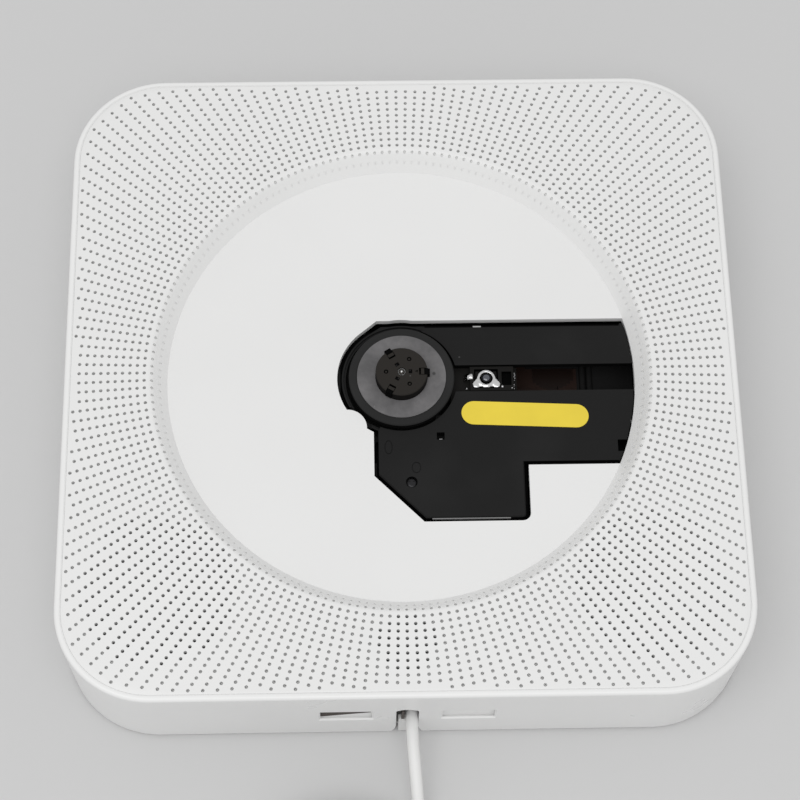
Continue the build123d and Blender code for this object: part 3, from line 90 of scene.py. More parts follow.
# ---------------------------------------------------------------- material building
class Material:
    """A principled material with short calls for the nodes that feed it."""

    def __init__(self, name, colour, roughness, metallic=0.0, specular=0.5):
        self.data = bpy.data.materials.new(name)
        self.data.use_nodes = True
        self.tree = self.data.node_tree
        self.shader = self.tree.nodes["Principled BSDF"]
        self.shader.inputs["Base Color"].default_value = (*colour, 1.0)
        self.shader.inputs["Roughness"].default_value = roughness
        self.shader.inputs["Metallic"].default_value = metallic
        self.shader.inputs["Specular IOR Level"].default_value = specular
        self.data.diffuse_color = (*colour, 1.0)
        self.colour = colour
        self.height = None

    def node(self, kind, **settings):
        made = self.tree.nodes.new(kind)
        for key, value in settings.items():
            setattr(made, key, value)
        return made

    def link(self, start, end):
        self.tree.links.new(start, end)

    def place(self):
        """Object coordinates, which are the part's own frame."""
        return self.node("ShaderNodeTexCoord").outputs["Object"]

    def noise(self, scale, detail=4.0, roughness=0.5, stretch=(1, 1, 1)):
        """Noise with the given number of cells per metre."""
        texture = self.node("ShaderNodeTexNoise")
        texture.inputs["Scale"].default_value = scale
        texture.inputs["Detail"].default_value = detail
        texture.inputs["Roughness"].default_value = roughness
        source = self.place()
        if stretch != (1, 1, 1):
            mapping = self.node("ShaderNodeMapping")
            mapping.inputs["Scale"].default_value = stretch
            self.link(source, mapping.inputs["Vector"])
            source = mapping.outputs["Vector"]
        self.link(source, texture.inputs["Vector"])
        return texture.outputs["Fac"]

    def remap(self, value, low, high, to_low, to_high):
        mapped = self.node("ShaderNodeMapRange")
        ends = {"From Min": low, "From Max": high, "To Min": to_low, "To Max": to_high}
        for key, number in ends.items():
            mapped.inputs[key].default_value = number
        self.link(value, mapped.inputs["Value"])
        return mapped.outputs["Result"]

    def mix(self, factor, first, second):
        """Colour between two colours, each a tuple or a socket."""
        mixed = self.node("ShaderNodeMix", data_type="RGBA")
        self.link(factor, mixed.inputs["Factor"])
        for key, colour in (("A", first), ("B", second)):
            socket = [item for item in mixed.inputs if item.name == key and item.type == "RGBA"][0]
            if isinstance(colour, tuple):
                socket.default_value = (*colour, 1.0)
            else:
                self.link(colour, socket)
        return [item for item in mixed.outputs if item.type == "RGBA"][0]

    def base(self, socket):
        self.link(socket, self.shader.inputs["Base Color"])

    def vary_colour(self, scale, spread, detail=3.0):
        """Base colour a little lighter and darker over the surface."""
        low = tuple(channel * (1 - spread) for channel in self.colour)
        high = tuple(min(1.0, channel * (1 + spread)) for channel in self.colour)
        self.base(self.mix(self.remap(self.noise(scale, detail), 0.3, 0.7, 0, 1), low, high))

    def vary_roughness(self, scale, low, high, detail=3.0, stretch=(1, 1, 1)):
        value = self.remap(self.noise(scale, detail, stretch=stretch), 0.3, 0.7, low, high)
        self.link(value, self.shader.inputs["Roughness"])

    def bump(self, height, depth, strength=1.0):
        """Bump from a 0 to 1 height of the given depth in metres, on top of any bump before it."""
        made = self.node("ShaderNodeBump")
        made.inputs["Strength"].default_value = strength
        made.inputs["Distance"].default_value = depth
        self.link(height, made.inputs["Height"])
        if self.height is not None:
            self.link(self.height, made.inputs["Normal"])
        self.height = made.outputs["Normal"]
        self.link(self.height, self.shader.inputs["Normal"])

    def upward(self):
        """1 on faces that look up in the part's own frame, falling to 0 on upright walls."""
        split = self.node("ShaderNodeSeparateXYZ")
        self.link(self.node("ShaderNodeTexCoord").outputs["Normal"], split.inputs["Vector"])
        return self.remap(split.outputs["Z"], 0.1, 0.8, 0, 1)

    def specks(self, per_metre, size, share):
        """1 on small scattered dots, else 0."""
        cells = self.node("ShaderNodeTexVoronoi", feature="F1")
        cells.inputs["Scale"].default_value = per_metre
        self.link(self.place(), cells.inputs["Vector"])
        near = self.remap(cells.outputs["Distance"], size * 0.6, size, 1, 0)
        chosen = self.node("ShaderNodeMath", operation="LESS_THAN")
        chosen.inputs[1].default_value = share
        split = self.node("ShaderNodeSeparateColor")
        self.link(cells.outputs["Color"], split.inputs["Color"])
        self.link(split.outputs["Red"], chosen.inputs[0])
        both = self.node("ShaderNodeMath", operation="MULTIPLY")
        self.link(near, both.inputs[0])
        self.link(chosen.outputs["Value"], both.inputs[1])
        return both.outputs["Value"]


def moulded_white(name, colour, roughness):
    """White moulded plastic: satin, with a very fine texture and a slight unevenness."""
    made = Material(name, colour, roughness)
    made.vary_colour(18, 0.012)
    made.vary_roughness(60, roughness - 0.05, roughness + 0.07)
    made.bump(made.noise(2600, 2.0), 0.012 * MM, 0.5)
    made.bump(made.noise(35, 1.0), 0.05 * MM, 0.25)
    return made


def moulded_black(name, colour, roughness, dust=0.18):
    """Black moulded plastic: fine grain, random lighter patches and light dust specks, with painted
    shade that makes upright walls much darker than the faces that look up.
    """
    made = Material(name, colour, roughness, specular=0.06)
    lighter = tuple(channel * 1.5 + 0.002 for channel in colour)
    # painted shade: upright walls take a fifth of the colour, faces that look up keep the full
    # colour with its random lighter patches
    painted_wall_shade = tuple(channel * 0.2 for channel in colour)
    worn = made.mix(made.remap(made.noise(45, 5.0), 0.45, 0.75, 0, 0.6), colour, lighter)
    walls_in_painted_shade = made.mix(made.upward(), painted_wall_shade, worn)
    made.base(made.mix(made.specks(420, 0.12, dust * 0.08), walls_in_painted_shade, (0.07, 0.07, 0.07)))
    made.vary_roughness(90, roughness - 0.08, roughness + 0.1)
    made.bump(made.noise(3200, 2.0), 0.02 * MM, 0.6)
    return made


def metal(name, colour, roughness, scale=400, stretch=(1, 1, 1)):
    """Bare metal with slightly uneven polish."""
    made = Material(name, colour, roughness, metallic=1.0)
    made.vary_colour(scale / 4, 0.06)
    made.vary_roughness(scale, roughness * 0.75, roughness * 1.3, stretch=stretch)
    made.bump(made.noise(scale * 5, 2.0, stretch=stretch), 0.006 * MM, 0.4)
    return made


def rubber(name, colour, roughness):
    made = Material(name, colour, roughness, specular=0.3)
    made.vary_colour(80, 0.12, 5.0)
    made.bump(made.noise(1500, 4.0), 0.03 * MM, 0.6)
    return made


def pad_rubber(name):
    """Grey non-slip ring, smudged by fingers and discs."""
    made = Material(name, (0.125, 0.122, 0.124), 0.55, specular=0.4)
    dark = (0.095, 0.093, 0.095)
    pale = (0.165, 0.16, 0.163)
    smudged = made.mix(made.remap(made.noise(170, 5.0, 0.6), 0.35, 0.7, 0, 1), dark, pale)
    marked = made.mix(made.specks(330, 0.2, 0.06), smudged, (0.05, 0.05, 0.05))
    made.base(made.mix(made.specks(510, 0.14, 0.05), marked, (0.4, 0.4, 0.4)))
    made.vary_roughness(220, 0.42, 0.66)
    made.bump(made.noise(1800, 3.0), 0.015 * MM, 0.5)
    return made


def film(name, colour, roughness):
    """Printed or plain film with a faint emboss."""
    made = Material(name, colour, roughness)
    made.vary_colour(120, 0.03)
    made.bump(made.noise(500, 2.0), 0.01 * MM, 0.4)
    return made


def circuit_board(name):
    """Green varnish over copper tracks."""
    made = Material(name, (0.012, 0.11, 0.045), 0.35)
    tracks = made.node("ShaderNodeTexBrick")
    tracks.inputs["Scale"].default_value = 260
    tracks.inputs["Mortar Size"].default_value = 0.03
    tracks.inputs["Color1"].default_value = (0.012, 0.11, 0.045, 1)
    tracks.inputs["Color2"].default_value = (0.016, 0.13, 0.05, 1)
    tracks.inputs["Mortar"].default_value = (0.03, 0.2, 0.08, 1)
    made.link(made.place(), tracks.inputs["Vector"])
    made.base(tracks.outputs["Color"])
    made.bump(made.noise(600, 3.0), 0.01 * MM, 0.4)
    return made


def paper_cone(name):
    made = Material(name, (0.022, 0.021, 0.02), 0.8, specular=0.2)
    made.vary_colour(300, 0.4, 6.0)
    made.bump(made.noise(900, 6.0, 0.7), 0.08 * MM, 0.7)
    return made


def coated_glass(name):
    made = Material(name, (0.03, 0.035, 0.05), 0.04, specular=0.9)
    made.shader.inputs["Coat Weight"].default_value = 1.0
    made.shader.inputs["Coat Roughness"].default_value = 0.02
    made.vary_colour(900, 0.2)
    return made


WHITE = (0.80, 0.80, 0.795)


FINISHES = (
    ("panel_white", moulded_white, WHITE, 0.48),
    ("shell_white", moulded_white, (0.83, 0.83, 0.825), 0.32),
    ("floor_white", moulded_white, WHITE, 0.45),
    ("cover_white", moulded_white, (0.78, 0.78, 0.77), 0.5),
    ("slider_white", moulded_white, (0.78, 0.78, 0.77), 0.4),
    ("button_white", moulded_white, (0.82, 0.82, 0.815), 0.35),
    ("foot_rubber", rubber, (0.5, 0.5, 0.5), 0.7),
    ("screw_steel", metal, (0.5, 0.5, 0.5), 0.35),
    ("screw_black", metal, (0.035, 0.035, 0.037), 0.28),
    ("speaker_metal", moulded_black, (0.02, 0.02, 0.02), 0.4),
    ("speaker_paper", paper_cone),
    ("magnet_steel", metal, (0.2, 0.2, 0.21), 0.5),
    ("board_green", circuit_board),
    ("dark_plastic", moulded_black, (0.012, 0.012, 0.012), 0.35),
    ("cord_white", moulded_white, (0.80, 0.80, 0.79), 0.42),
    ("plug_metal", metal, (0.72, 0.72, 0.72), 0.18),
    ("mech_black", moulded_black, (0.0155, 0.0155, 0.0155), 0.55),
    ("sled_black", moulded_black, (0.010, 0.0095, 0.009), 0.45),
    ("sticker_yellow", film, (0.80, 0.62, 0.045), 0.4),
    ("damper_rubber", rubber, (0.02, 0.02, 0.02), 0.6),
    ("motor_steel", metal, (0.5, 0.5, 0.51), 0.3),
    ("shaft_steel", metal, (0.65, 0.65, 0.65), 0.15),
    ("pad_rubber", pad_rubber),
    ("lens_cover_chrome", metal, (0.68, 0.68, 0.68), 0.22),
    ("lens_glass", coated_glass),
    ("gear_plastic", film, (0.72, 0.70, 0.62), 0.4),
    ("rack_black", moulded_black, (0.012, 0.012, 0.012), 0.4),
    # colour of the painted shadow on the ribbon
    ("flex_dark", film, (0.012, 0.005, 0.003), 0.4),
    ("turntable_black", moulded_black, (0.024, 0.024, 0.024), 0.6),
    ("hub_black", moulded_black, (0.026, 0.0235, 0.021), 0.5),
    ("shaft_dark", metal, (0.07, 0.065, 0.06), 0.25),
    # the next three colour trim pieces that paint shade (the near-black and the brown) and a
    # painted highlight (the light grey)
    ("sled_shade", moulded_black, (0.0015, 0.0015, 0.0015), 0.9),
    ("pocket_brown", film, (0.06, 0.048, 0.042), 0.6),
    ("bevel_grey", moulded_white, (0.22, 0.22, 0.22), 0.3),
    ("flex_amber", film, (0.034, 0.019, 0.015), 0.3),
)


def make_materials():
    """Material for each slot of the record, and a few more for the small trim."""
    return {name: make(name, *values) for name, make, *values in FINISHES}


OWN_FINISHES = {
    "turntable": "turntable_black",
    "hub": "hub_black",
    "hub_claw_1": "hub_black",
    "hub_claw_2": "hub_black",
    "hub_claw_3": "hub_black",
}


def dress_nodes(materials):
    """Give every CAD node the finish of its slot, or its own where it has one."""
    for entry in frame["record"]["subparts"]:
        node = nodes[entry["node"]]
        finish = OWN_FINISHES.get(entry["node"], entry["material_slot"])
        made = materials[finish].data
        if not node.material_slots:
            node.data.materials.append(made)
        for slot in node.material_slots:
            slot.material = made


# ---------------------------------------------------------------- mesh helpers
def add_mesh(name, points, faces, material, body, smooth_angle=None):
    """Mesh object from points and faces, riding on a body."""
    mesh = bpy.data.meshes.new(name)
    mesh.from_pydata([tuple(point) for point in points], [], faces)
    mesh.validate()
    made = bpy.data.objects.new(name, mesh)
    bpy.context.scene.collection.objects.link(made)
    mesh.materials.append(material.data)
    if smooth_angle is not None:
        for polygon in mesh.polygons:
            polygon.use_smooth = True
        mesh.set_sharp_from_angle(angle=smooth_angle)
    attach(made, body)
    return made


def circle(x, y, radius, count, start=0.0):
    """Points anticlockwise round a circle."""
    turns = [start + 2 * pi * step / count for step in range(count)]
    return [(x + radius * cos(turn), y + radius * sin(turn)) for turn in turns]


def rounded_square(half, radius, steps):
    """Points anticlockwise round a square with round corners."""
    points = []
    inner = half - radius
    for quarter, (x, y) in enumerate(((1, 1), (-1, 1), (-1, -1), (1, -1))):
        for step in range(steps + 1):
            angle = pi / 2 * (quarter + step / steps)
            points.append((x * inner + radius * cos(angle), y * inner + radius * sin(angle)))
    return points


MERGE_DISTANCE = 1e-9


class Sheet:
    """Flat or lifted sheet: loops of points in a plane, triangulated between them."""

    def __init__(self):
        self.points = []
        self.edges = []

    def loop(self, points):
        """A closed line that the triangles keep to. Gives its points' numbers."""
        first = len(self.points)
        self.points += points
        count = len(points)
        self.edges += [(first + step, first + (step + 1) % count) for step in range(count)]
        return list(range(first, first + count))

    def triangles(self, keep):
        """Triangles whose middle passes keep(x, y), as numbers of this sheet's points."""
        made, _, faces, origin, _, _ = delaunay_2d_cdt(
            [Vector(point) for point in self.points], self.edges, [], 0, MERGE_DISTANCE)
        source = [first[0] if first else None for first in origin]
        kept = []
        for face in faces:
            x = sum(made[number].x for number in face) / 3
            y = sum(made[number].y for number in face) / 3
            if keep(x, y):
                kept.append(tuple(source[number] for number in face))
        return kept


# ---------------------------------------------------------------- perforated front panel
DISH_RADIUS = 66.5 * MM
DISH_DEPTH = front - dish_floor
SLOPE_WIDTH = 4.1 * MM
LIP_ROUND = 2.0 * MM
PANEL_THICKNESS = 2.2 * MM
PANEL_CORNER = 24.7 * MM
PANEL_BEVEL = 0.25 * MM
BEVEL_SHARE = 0.3
CORNER_STEPS = 24
PANEL_GAP = 0.3 * MM
THROAT_BACK = 68.44 * MM
THROAT_BEHIND = 71.03 * MM
# radii in mm where the slope and the lip bend
THROAT_RINGS = (67.0, 67.9, 68.95, 69.6, 69.95, 70.96, 71.12, 71.28, 71.43)
# share of a sheet's inner radius past which its triangles are kept
INSIDE_SHARE = 0.9999
ROWS = 200
RING_PITCH = 2.032 * MM
FIRST_RING = 72.49 * MM
RINGS = range(-2, 30)
HOLE_RADIUS = 0.5 * MM
HOLE_SIDES = 10
HOLE_DEPTH = 1.6 * MM
# radius and depth of the faint dimples on the lip, by ring
LIP_DIMPLES = {-2: (0.30 * MM, 0.25 * MM), -1: (0.42 * MM, 0.8 * MM)}
EDGE_MARGIN = 2.7 * MM
RIM_HALF = corner("side_shell", 1).x
RIM_CORNER = 26.5 * MM
SPEAKER_X = (corner("speaker_frame_right", 0).x + corner("speaker_frame_right", 1).x) / 2
SPEAKER_Y = (corner("speaker_frame_right", 0).y + corner("speaker_frame_right", 1).y) / 2
SPEAKER_FIELD = 21.24 * MM
# the sensor's open holes lie this far above the middle of its board
SENSOR_RISE = 0.83 * MM
SENSOR_Y = (corner("sensor_board", 0).y + corner("sensor_board", 1).y) / 2 + SENSOR_RISE
SENSOR_FIELD = 8.08 * MM

slope_angle = atan2(DISH_DEPTH, SLOPE_WIDTH)
mouth_radius = DISH_RADIUS + SLOPE_WIDTH
lip_reach = LIP_ROUND * tan(slope_angle / 2)
flat_start = mouth_radius + lip_reach
slope_end = mouth_radius - lip_reach * cos(slope_angle)


def panel_height(radius):
    """Height of the panel's surface at a distance from the dish's centre."""
    if radius >= flat_start:
        return front
    if radius <= slope_end:
        return dish_floor + (radius - DISH_RADIUS) * tan(slope_angle)
    return front - LIP_ROUND + sqrt(LIP_ROUND**2 - (flat_start - radius)**2)


def outline_distance(x, y):
    """How far a point lies inside the housing's outline."""
    qx = abs(x) - (RIM_HALF - RIM_CORNER)
    qy = abs(y) - (RIM_HALF - RIM_CORNER)
    return RIM_CORNER - hypot(max(qx, 0), max(qy, 0)) - min(max(qx, qy), 0)


def is_open(x, y):
    """True where a hole goes right through, in front of a speaker or the remote sensor."""
    if hypot(abs(x) - SPEAKER_X, y - SPEAKER_Y) < SPEAKER_FIELD:
        return True
    return hypot(x, y - SENSOR_Y) < SENSOR_FIELD


def sound_holes():
    """(x, y, radius, depth) of each hole. Depth None goes through."""
    holes = []
    for ring in RINGS:
        distance = FIRST_RING + ring * RING_PITCH
        for row in range(ROWS):
            angle = 2 * pi * row / ROWS
            x = distance * cos(angle)
            y = distance * sin(angle)
            if outline_distance(x, y) < EDGE_MARGIN:
                continue
            if ring in LIP_DIMPLES:
                holes.append((x, y, *LIP_DIMPLES[ring]))
            elif is_open(x, y):
                holes.append((x, y, HOLE_RADIUS, None))
            else:
                holes.append((x, y, HOLE_RADIUS, HOLE_DEPTH))
    return holes


def in_hole_grid(holes):
    """Quick test of whether a point lies in one of the holes."""
    cell = RING_PITCH
    grid = {}
    for x, y, radius, _ in holes:
        for i in (-1, 0, 1):
            for j in (-1, 0, 1):
                square = (round(x / cell) + i, round(y / cell) + j)
                grid.setdefault(square, []).append((x, y, radius))

    def inside(x, y):
        for hx, hy, radius in grid.get((round(x / cell), round(y / cell)), ()):
            if hypot(x - hx, y - hy) < radius * cos(pi / HOLE_SIDES):
                return True
        return False

    return inside


def hole_circle(x, y, radius):
    """Outline of a hole, with its first point turned away from the dish's centre."""
    return circle(x, y, radius, HOLE_SIDES, atan2(y, x))


def perforated_panel(material):
    """Front panel with its dish throat, about 3500 holes and a closed back."""
    holes = sound_holes()
    in_hole = in_hole_grid(holes)
    points = []
    faces = []
    circle_count = 2 * ROWS
    # top sheet: throat, lip and flat, with the holes cut out
    top = Sheet()
    throat_loop = top.loop(circle(0, 0, DISH_RADIUS, circle_count))
    for radius in THROAT_RINGS:
        top.loop(circle(0, 0, radius * MM, circle_count))
    top.loop(circle(0, 0, flat_start, circle_count))
    rim = rounded_square(panel_half - PANEL_BEVEL, PANEL_CORNER - PANEL_BEVEL, CORNER_STEPS)
    outer_loop = top.loop(rim)
    hole_loops = [top.loop(hole_circle(*hole[:3])) for hole in holes]
    inner = DISH_RADIUS * INSIDE_SHARE
    kept = top.triangles(lambda x, y: hypot(x, y) > inner and not in_hole(x, y))
    points += [(x, y, panel_height(hypot(x, y))) for x, y in top.points]
    faces += kept
    # bottom sheet: only the open holes are cut out
    open_holes = [hole for hole in holes if hole[3] is None]
    in_open = in_hole_grid(open_holes)
    back = front - PANEL_THICKNESS
    bottom = Sheet()
    behind_loop = bottom.loop(circle(0, 0, THROAT_BEHIND, circle_count))
    edge_loop = bottom.loop(rounded_square(panel_half, PANEL_CORNER, CORNER_STEPS))
    open_loops = [bottom.loop(hole_circle(*hole[:3])) for hole in open_holes]
    start = len(points)
    behind = THROAT_BEHIND * INSIDE_SHARE
    kept = bottom.triangles(lambda x, y: hypot(x, y) > behind and not in_open(x, y))
    points += [(x, y, back) for x, y in bottom.points]
    faces += [tuple(start + number for number in reversed(face)) for face in kept]
    behind_loop = [start + number for number in behind_loop]
    edge_loop = [start + number for number in edge_loop]
    open_loops = [[start + number for number in loop] for loop in open_loops]

    def join(first, second):
        """Quads between two loops; seen with first above second, they face outwards."""
        count = len(first)
        for step in range(count):
            after = (step + 1) % count
            faces.append((first[after], first[step], second[step], second[after]))

    def new_loop(ring, height):
        """A loop of new points at one height. Gives their numbers."""
        number = len(points)
        points.extend((x, y, height) for x, y in ring)
        return list(range(number, number + len(ring)))

    # outer edge with a small rounding
    inset = BEVEL_SHARE * PANEL_BEVEL
    middle = rounded_square(panel_half - inset, PANEL_CORNER - inset, CORNER_STEPS)
    bevel_loop = new_loop(middle, front - inset)
    side = rounded_square(panel_half, PANEL_CORNER, CORNER_STEPS)
    side_loop = new_loop(side, front - PANEL_BEVEL)
    join(outer_loop, bevel_loop)
    join(bevel_loop, side_loop)
    join(side_loop, edge_loop)
    # back of the throat
    foot_loop = new_loop(circle(0, 0, THROAT_BACK, circle_count), dish_floor)
    join(behind_loop, foot_loop)
    join(foot_loop, throat_loop)
    # hole walls and blind ends
    opened = iter(open_loops)
    for (x, y, radius, depth), loop in zip(holes, hole_loops):
        if depth is None:
            join(next(opened), loop)
            continue
        ring = hole_circle(x, y, radius)
        number = len(points)
        points.extend((px, py, panel_height(hypot(px, py)) - depth) for px, py in ring)
        end = list(range(number, number + HOLE_SIDES))
        join(end, loop)
        faces.append(tuple(end))
    panel = add_mesh("perforated_panel", points, faces, material, "housing",
                     radians(40))
    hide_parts("front_panel")
    return panel


# ---------------------------------------------------------------- cord
CORD_DIAMETER = 3.4 * MM
# points of the cord before its coil, in mm
CORD_ROUTE = [
    (1.2, -89.5, 13.3),
    (1.2, -98.5, 13.3),
    (2.0, -109.0, 11.4),
    (2.9, -121.5, 5.6),
    (3.6, -134.0, 2.0),
    (4.1, -146.0, 1.7),
]
COIL_POINTS_PER_TURN = 16
COIL_ADVANCE = 3.4
COIL_TURNS_ACROSS = 4
COIL_LAYERS = 3
TAIL_CLIMB = 0.4
# points of the cord's end behind the plug, from the coil's middle, in mm
PLUG_APPROACH = [
    (28.6, 3.0, 12.4),
    (27.6, -8.0, 13.6),
    (21.0, -15.0, 14.2),
    (14.5, -15.0, 14.2),
]

coil_low, coil_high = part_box("cord_coil")
coil_x = (coil_low.x + coil_high.x) / 2 / MM
coil_y = (coil_low.y + coil_high.y) / 2 / MM
cord_radius = CORD_DIAMETER / MM / 2
coil_outside = (coil_high.x - coil_low.x) / 2 / MM - cord_radius
coil_inside = coil_outside - (COIL_TURNS_ACROSS - 1) * 2 * cord_radius
coil_rows = [cord_radius * (1 + 2 * row) for row in range(COIL_LAYERS)]


def wound_place(travel):
    """Radius and height in the coil's section after a travel across it.

    The cord goes inwards on the lowest layer, back outwards on the next, and inwards again.
    """
    near = coil_outside - cord_radius
    far = coil_inside + cord_radius
    bend = pi * cord_radius
    first = coil_outside - far
    if travel <= first:
        return coil_outside - travel, coil_rows[0]
    travel -= first
    if travel <= bend:
        turn = travel / cord_radius
        return far - cord_radius * sin(turn), coil_rows[0] + cord_radius * (1 - cos(turn))
    travel -= bend
    if travel <= near - far:
        return far + travel, coil_rows[1]
    travel -= near - far
    if travel <= bend:
        turn = travel / cord_radius
        return near + cord_radius * sin(turn), coil_rows[1] + cord_radius * (1 - cos(turn))
    return near - (travel - bend), coil_rows[2]


def smooth(share):
    """0 to 1 with soft ends."""
    share = min(1.0, max(0.0, share))
    return share * share * (3 - 2 * share)


def coil_place(angle, reach, level):
    """A point by its turns round the coil's middle, its distance from it and its height."""
    return coil_x + reach * cos(2 * pi * angle), coil_y - reach * sin(2 * pi * angle), level


def coil_route():
    """Turns of the coil, then the tail that rises over them to the back of the plug."""
    across = coil_outside - coil_inside
    travel_end = across + 2 * (across - cord_radius) + pi * cord_radius
    last_step = int(travel_end / COIL_ADVANCE * COIL_POINTS_PER_TURN)
    route = []
    for step in range(1, last_step + 1):
        reach, level = wound_place(step / COIL_POINTS_PER_TURN * COIL_ADVANCE)
        route.append(coil_place(step / COIL_POINTS_PER_TURN, reach, level))
    turned = last_step / COIL_POINTS_PER_TURN
    reach, level = wound_place(turned * COIL_ADVANCE)
    near_x, near_y, near_z = PLUG_APPROACH[0]
    tail_turns = ceil(turned) + 1 - turned
    tail_steps = int(tail_turns * COIL_POINTS_PER_TURN)
    late = TAIL_CLIMB / 2
    for step in range(1, tail_steps):
        share = step / tail_steps
        rise = level + (near_z - level) * smooth(share / TAIL_CLIMB)
        out = reach + (hypot(near_x, near_y) - reach) * smooth((share - late) / (1 - late))
        route.append(coil_place(turned + tail_turns * share, out, rise))
    return route + [(coil_x + x, coil_y + y, z) for x, y, z in PLUG_APPROACH]


def add_cord(materials):
    """The pull cord as one smooth line, from its exit to the back of its plug."""
    data = bpy.data.curves.new("pull_cord_line", "CURVE")
    data.dimensions = "3D"
    data.bevel_depth = CORD_DIAMETER / 2
    data.bevel_resolution = 6
    data.use_fill_caps = True
    route = CORD_ROUTE + coil_route()
    spline = data.splines.new("NURBS")
    spline.points.add(len(route) - 1)
    for point, place in zip(spline.points, route):
        point.co = (*(Vector(place) * MM), 1.0)
    spline.order_u = 3
    spline.use_endpoint_u = True
    spline.resolution_u = 6
    cord = bpy.data.objects.new("pull_cord_line", data)
    bpy.context.scene.collection.objects.link(cord)
    data.materials.append(materials["cord_white"].data)
    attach(cord, "pull_cord")
    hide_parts("cord", "cord_coil")


# ---------------------------------------------------------------- small trim
# in mm: (x, z) of the spring, (x, y, z, radius) of each solder dot, and (y, shift in x, length)
# of each tooth
SPRING_PROFILE = ((17.9, 27.0), (18.2, 27.9), (18.8, 28.5), (19.5, 28.85), (20.1, 28.95),
                  (20.4, 28.86))
SPRING_Y = (-0.2, 1.5)
SPRING_GAUGE = 0.15 * MM
SOLDER_DOTS = ((18.7, -2.3, 26.9, 0.36), (28.75, -2.55, 28.82, 0.40), (31.5, -3.0, 28.82, 0.22))
EDGE_TEETH = ((1.9, 0.0, 0.5), (1.45, 0.14, 0.35), (1.0, -0.08, 0.4), (0.5, 0.1, 0.35),
              (-0.1, -0.05, 0.2), (-1.5, -0.15, 0.3), (-2.1, -0.3, 0.4), (-2.7, -0.12, 0.2))
DOME_SIDES = 12
DOME_LEVELS = 4
DOME_RISE = 0.8
BOX_FACES = ((0, 1, 3, 2), (4, 6, 7, 5), (0, 4, 5, 1), (2, 3, 7, 6), (0, 2, 6, 4), (1, 5, 7, 3))


def bent_strip(name, profile, low_y, high_y, material, slot_name):
    """Thin strip on the sled whose profile runs in x and z, in mm."""
    points = [Vector((x, y, z)) * MM for x, z in profile for y in (low_y, high_y)]
    faces = [(i, i + 1, i + 3, i + 2) for i in range(0, len(points) - 2, 2)]
    strip = add_mesh(name, points, faces, material, "sled", radians(40))
    gauge = strip.modifiers.new("gauge", "SOLIDIFY")
    gauge.thickness = SPRING_GAUGE


def add_boxes(name, boxes, material, body):
    """One mesh of separate blocks, each (x0, x1, y0, y1, z0, z1) in mm."""
    points = []
    faces = []
    for x0, x1, y0, y1, z0, z1 in boxes:
        first = len(points)
        points += [Vector((x, y, z)) * MM for x in (x0, x1) for y in (y0, y1) for z in (z0, z1)]
        faces += [tuple(first + number for number in face) for face in BOX_FACES]
    return add_mesh(name, points, faces, material, body)


def add_domes(name, dots, material, body):
    """One mesh of low domes at (x, y, z, radius) in mm."""
    points = []
    faces = []
    around = DOME_SIDES
    for x, y, z, radius in dots:
        first = len(points)
        for level in range(DOME_LEVELS):
            ring = radius * cos(level * pi / (2 * DOME_LEVELS))
            rise = radius * DOME_RISE * sin(level * pi / (2 * DOME_LEVELS))
            for k in range(around):
                turn = 2 * pi * k / around
                points.append(Vector((x + ring * cos(turn), y + ring * sin(turn), z + rise)) * MM)
        points.append(Vector((x, y, z + radius * DOME_RISE)) * MM)
        for level in range(DOME_LEVELS - 1):
            row = first + level * around
            above = row + around
            for k in range(around):
                after = (k + 1) % around
                faces.append((row + k, row + after, above + after, above + k))
        row = first + (DOME_LEVELS - 1) * around
        tip = first + DOME_LEVELS * around
        faces += [(row + k, row + (k + 1) % around, tip) for k in range(around)]
    return add_mesh(name, points, faces, material, body, radians(50))


def inside_outline(place, outline):
    """Whether a point lies inside a closed outline, by counting crossings."""
    inside = False
    for first, second in zip(outline, outline[1:] + outline[:1]):
        if (first.y > place.y) != (second.y > place.y):
            cross = first.x + (place.y - first.y) * (second.x - first.x) / (second.y - first.y)
            if place.x < cross:
                inside = not inside
    return inside


def ring_mesh(name, loops, material):
    """Closed ring on the housing: each loop of points joined to the next, the last to the first."""
    points = [place for loop in loops for place in loop]
    count = len(loops[0])
    faces = []
    for level in range(len(loops)):
        here = level * count
        above = (level + 1) % len(loops) * count
        for k in range(count):
            after = (k + 1) % count
            faces.append((here + k, here + after, above + after, above + k))
    return add_mesh(name, points, faces, material, "housing")


# pressed lens cover, in mm from the lens's axis
BELL_RING = 2.55
BELL_WINDOW = 1.72
BELL_WINDOW_SIDES = 24
BELL_ARC = [radians(165 - 150 * step / 14) for step in range(15)]
# right-hand side of its outline, below the arc
BELL_SIDE = ((2.45, 0.6), (2.75, -0.15), (3.3, -0.75), (3.8, -1.3), (3.95, -1.95), (3.7, -2.55),
             (3.05, -2.85), (2.35, -2.75), (1.75, -2.45), (1.2, -2.6), (0.5, -2.95))
BELL_GRID = 0.3
BELL_MARGIN = 0.12
BELL_GAUGE = 0.18 * MM
BELL_BASE = 28.9
BELL_MERGE = 1e-7


def bell_height(x, y):
    """Height in mm of the pressed lens cover: raised ring, arms that fall away, raised lip."""
    radius = hypot(x, y)
    rise = max(0.0, 1 - abs(radius - 2.1) / 0.9)
    arm = max(0.0, 1 - hypot(abs(x) - 3.0, y + 1.95) / 1.2)
    lip = max(0.0, 1 - hypot(x / 1.5, (y + 2.4) / 0.7))
    rises = ((0.28, rise), (0.25, arm), (0.2, lip))
    return BELL_BASE + sum(height * sin(share * pi / 2) for height, share in rises)


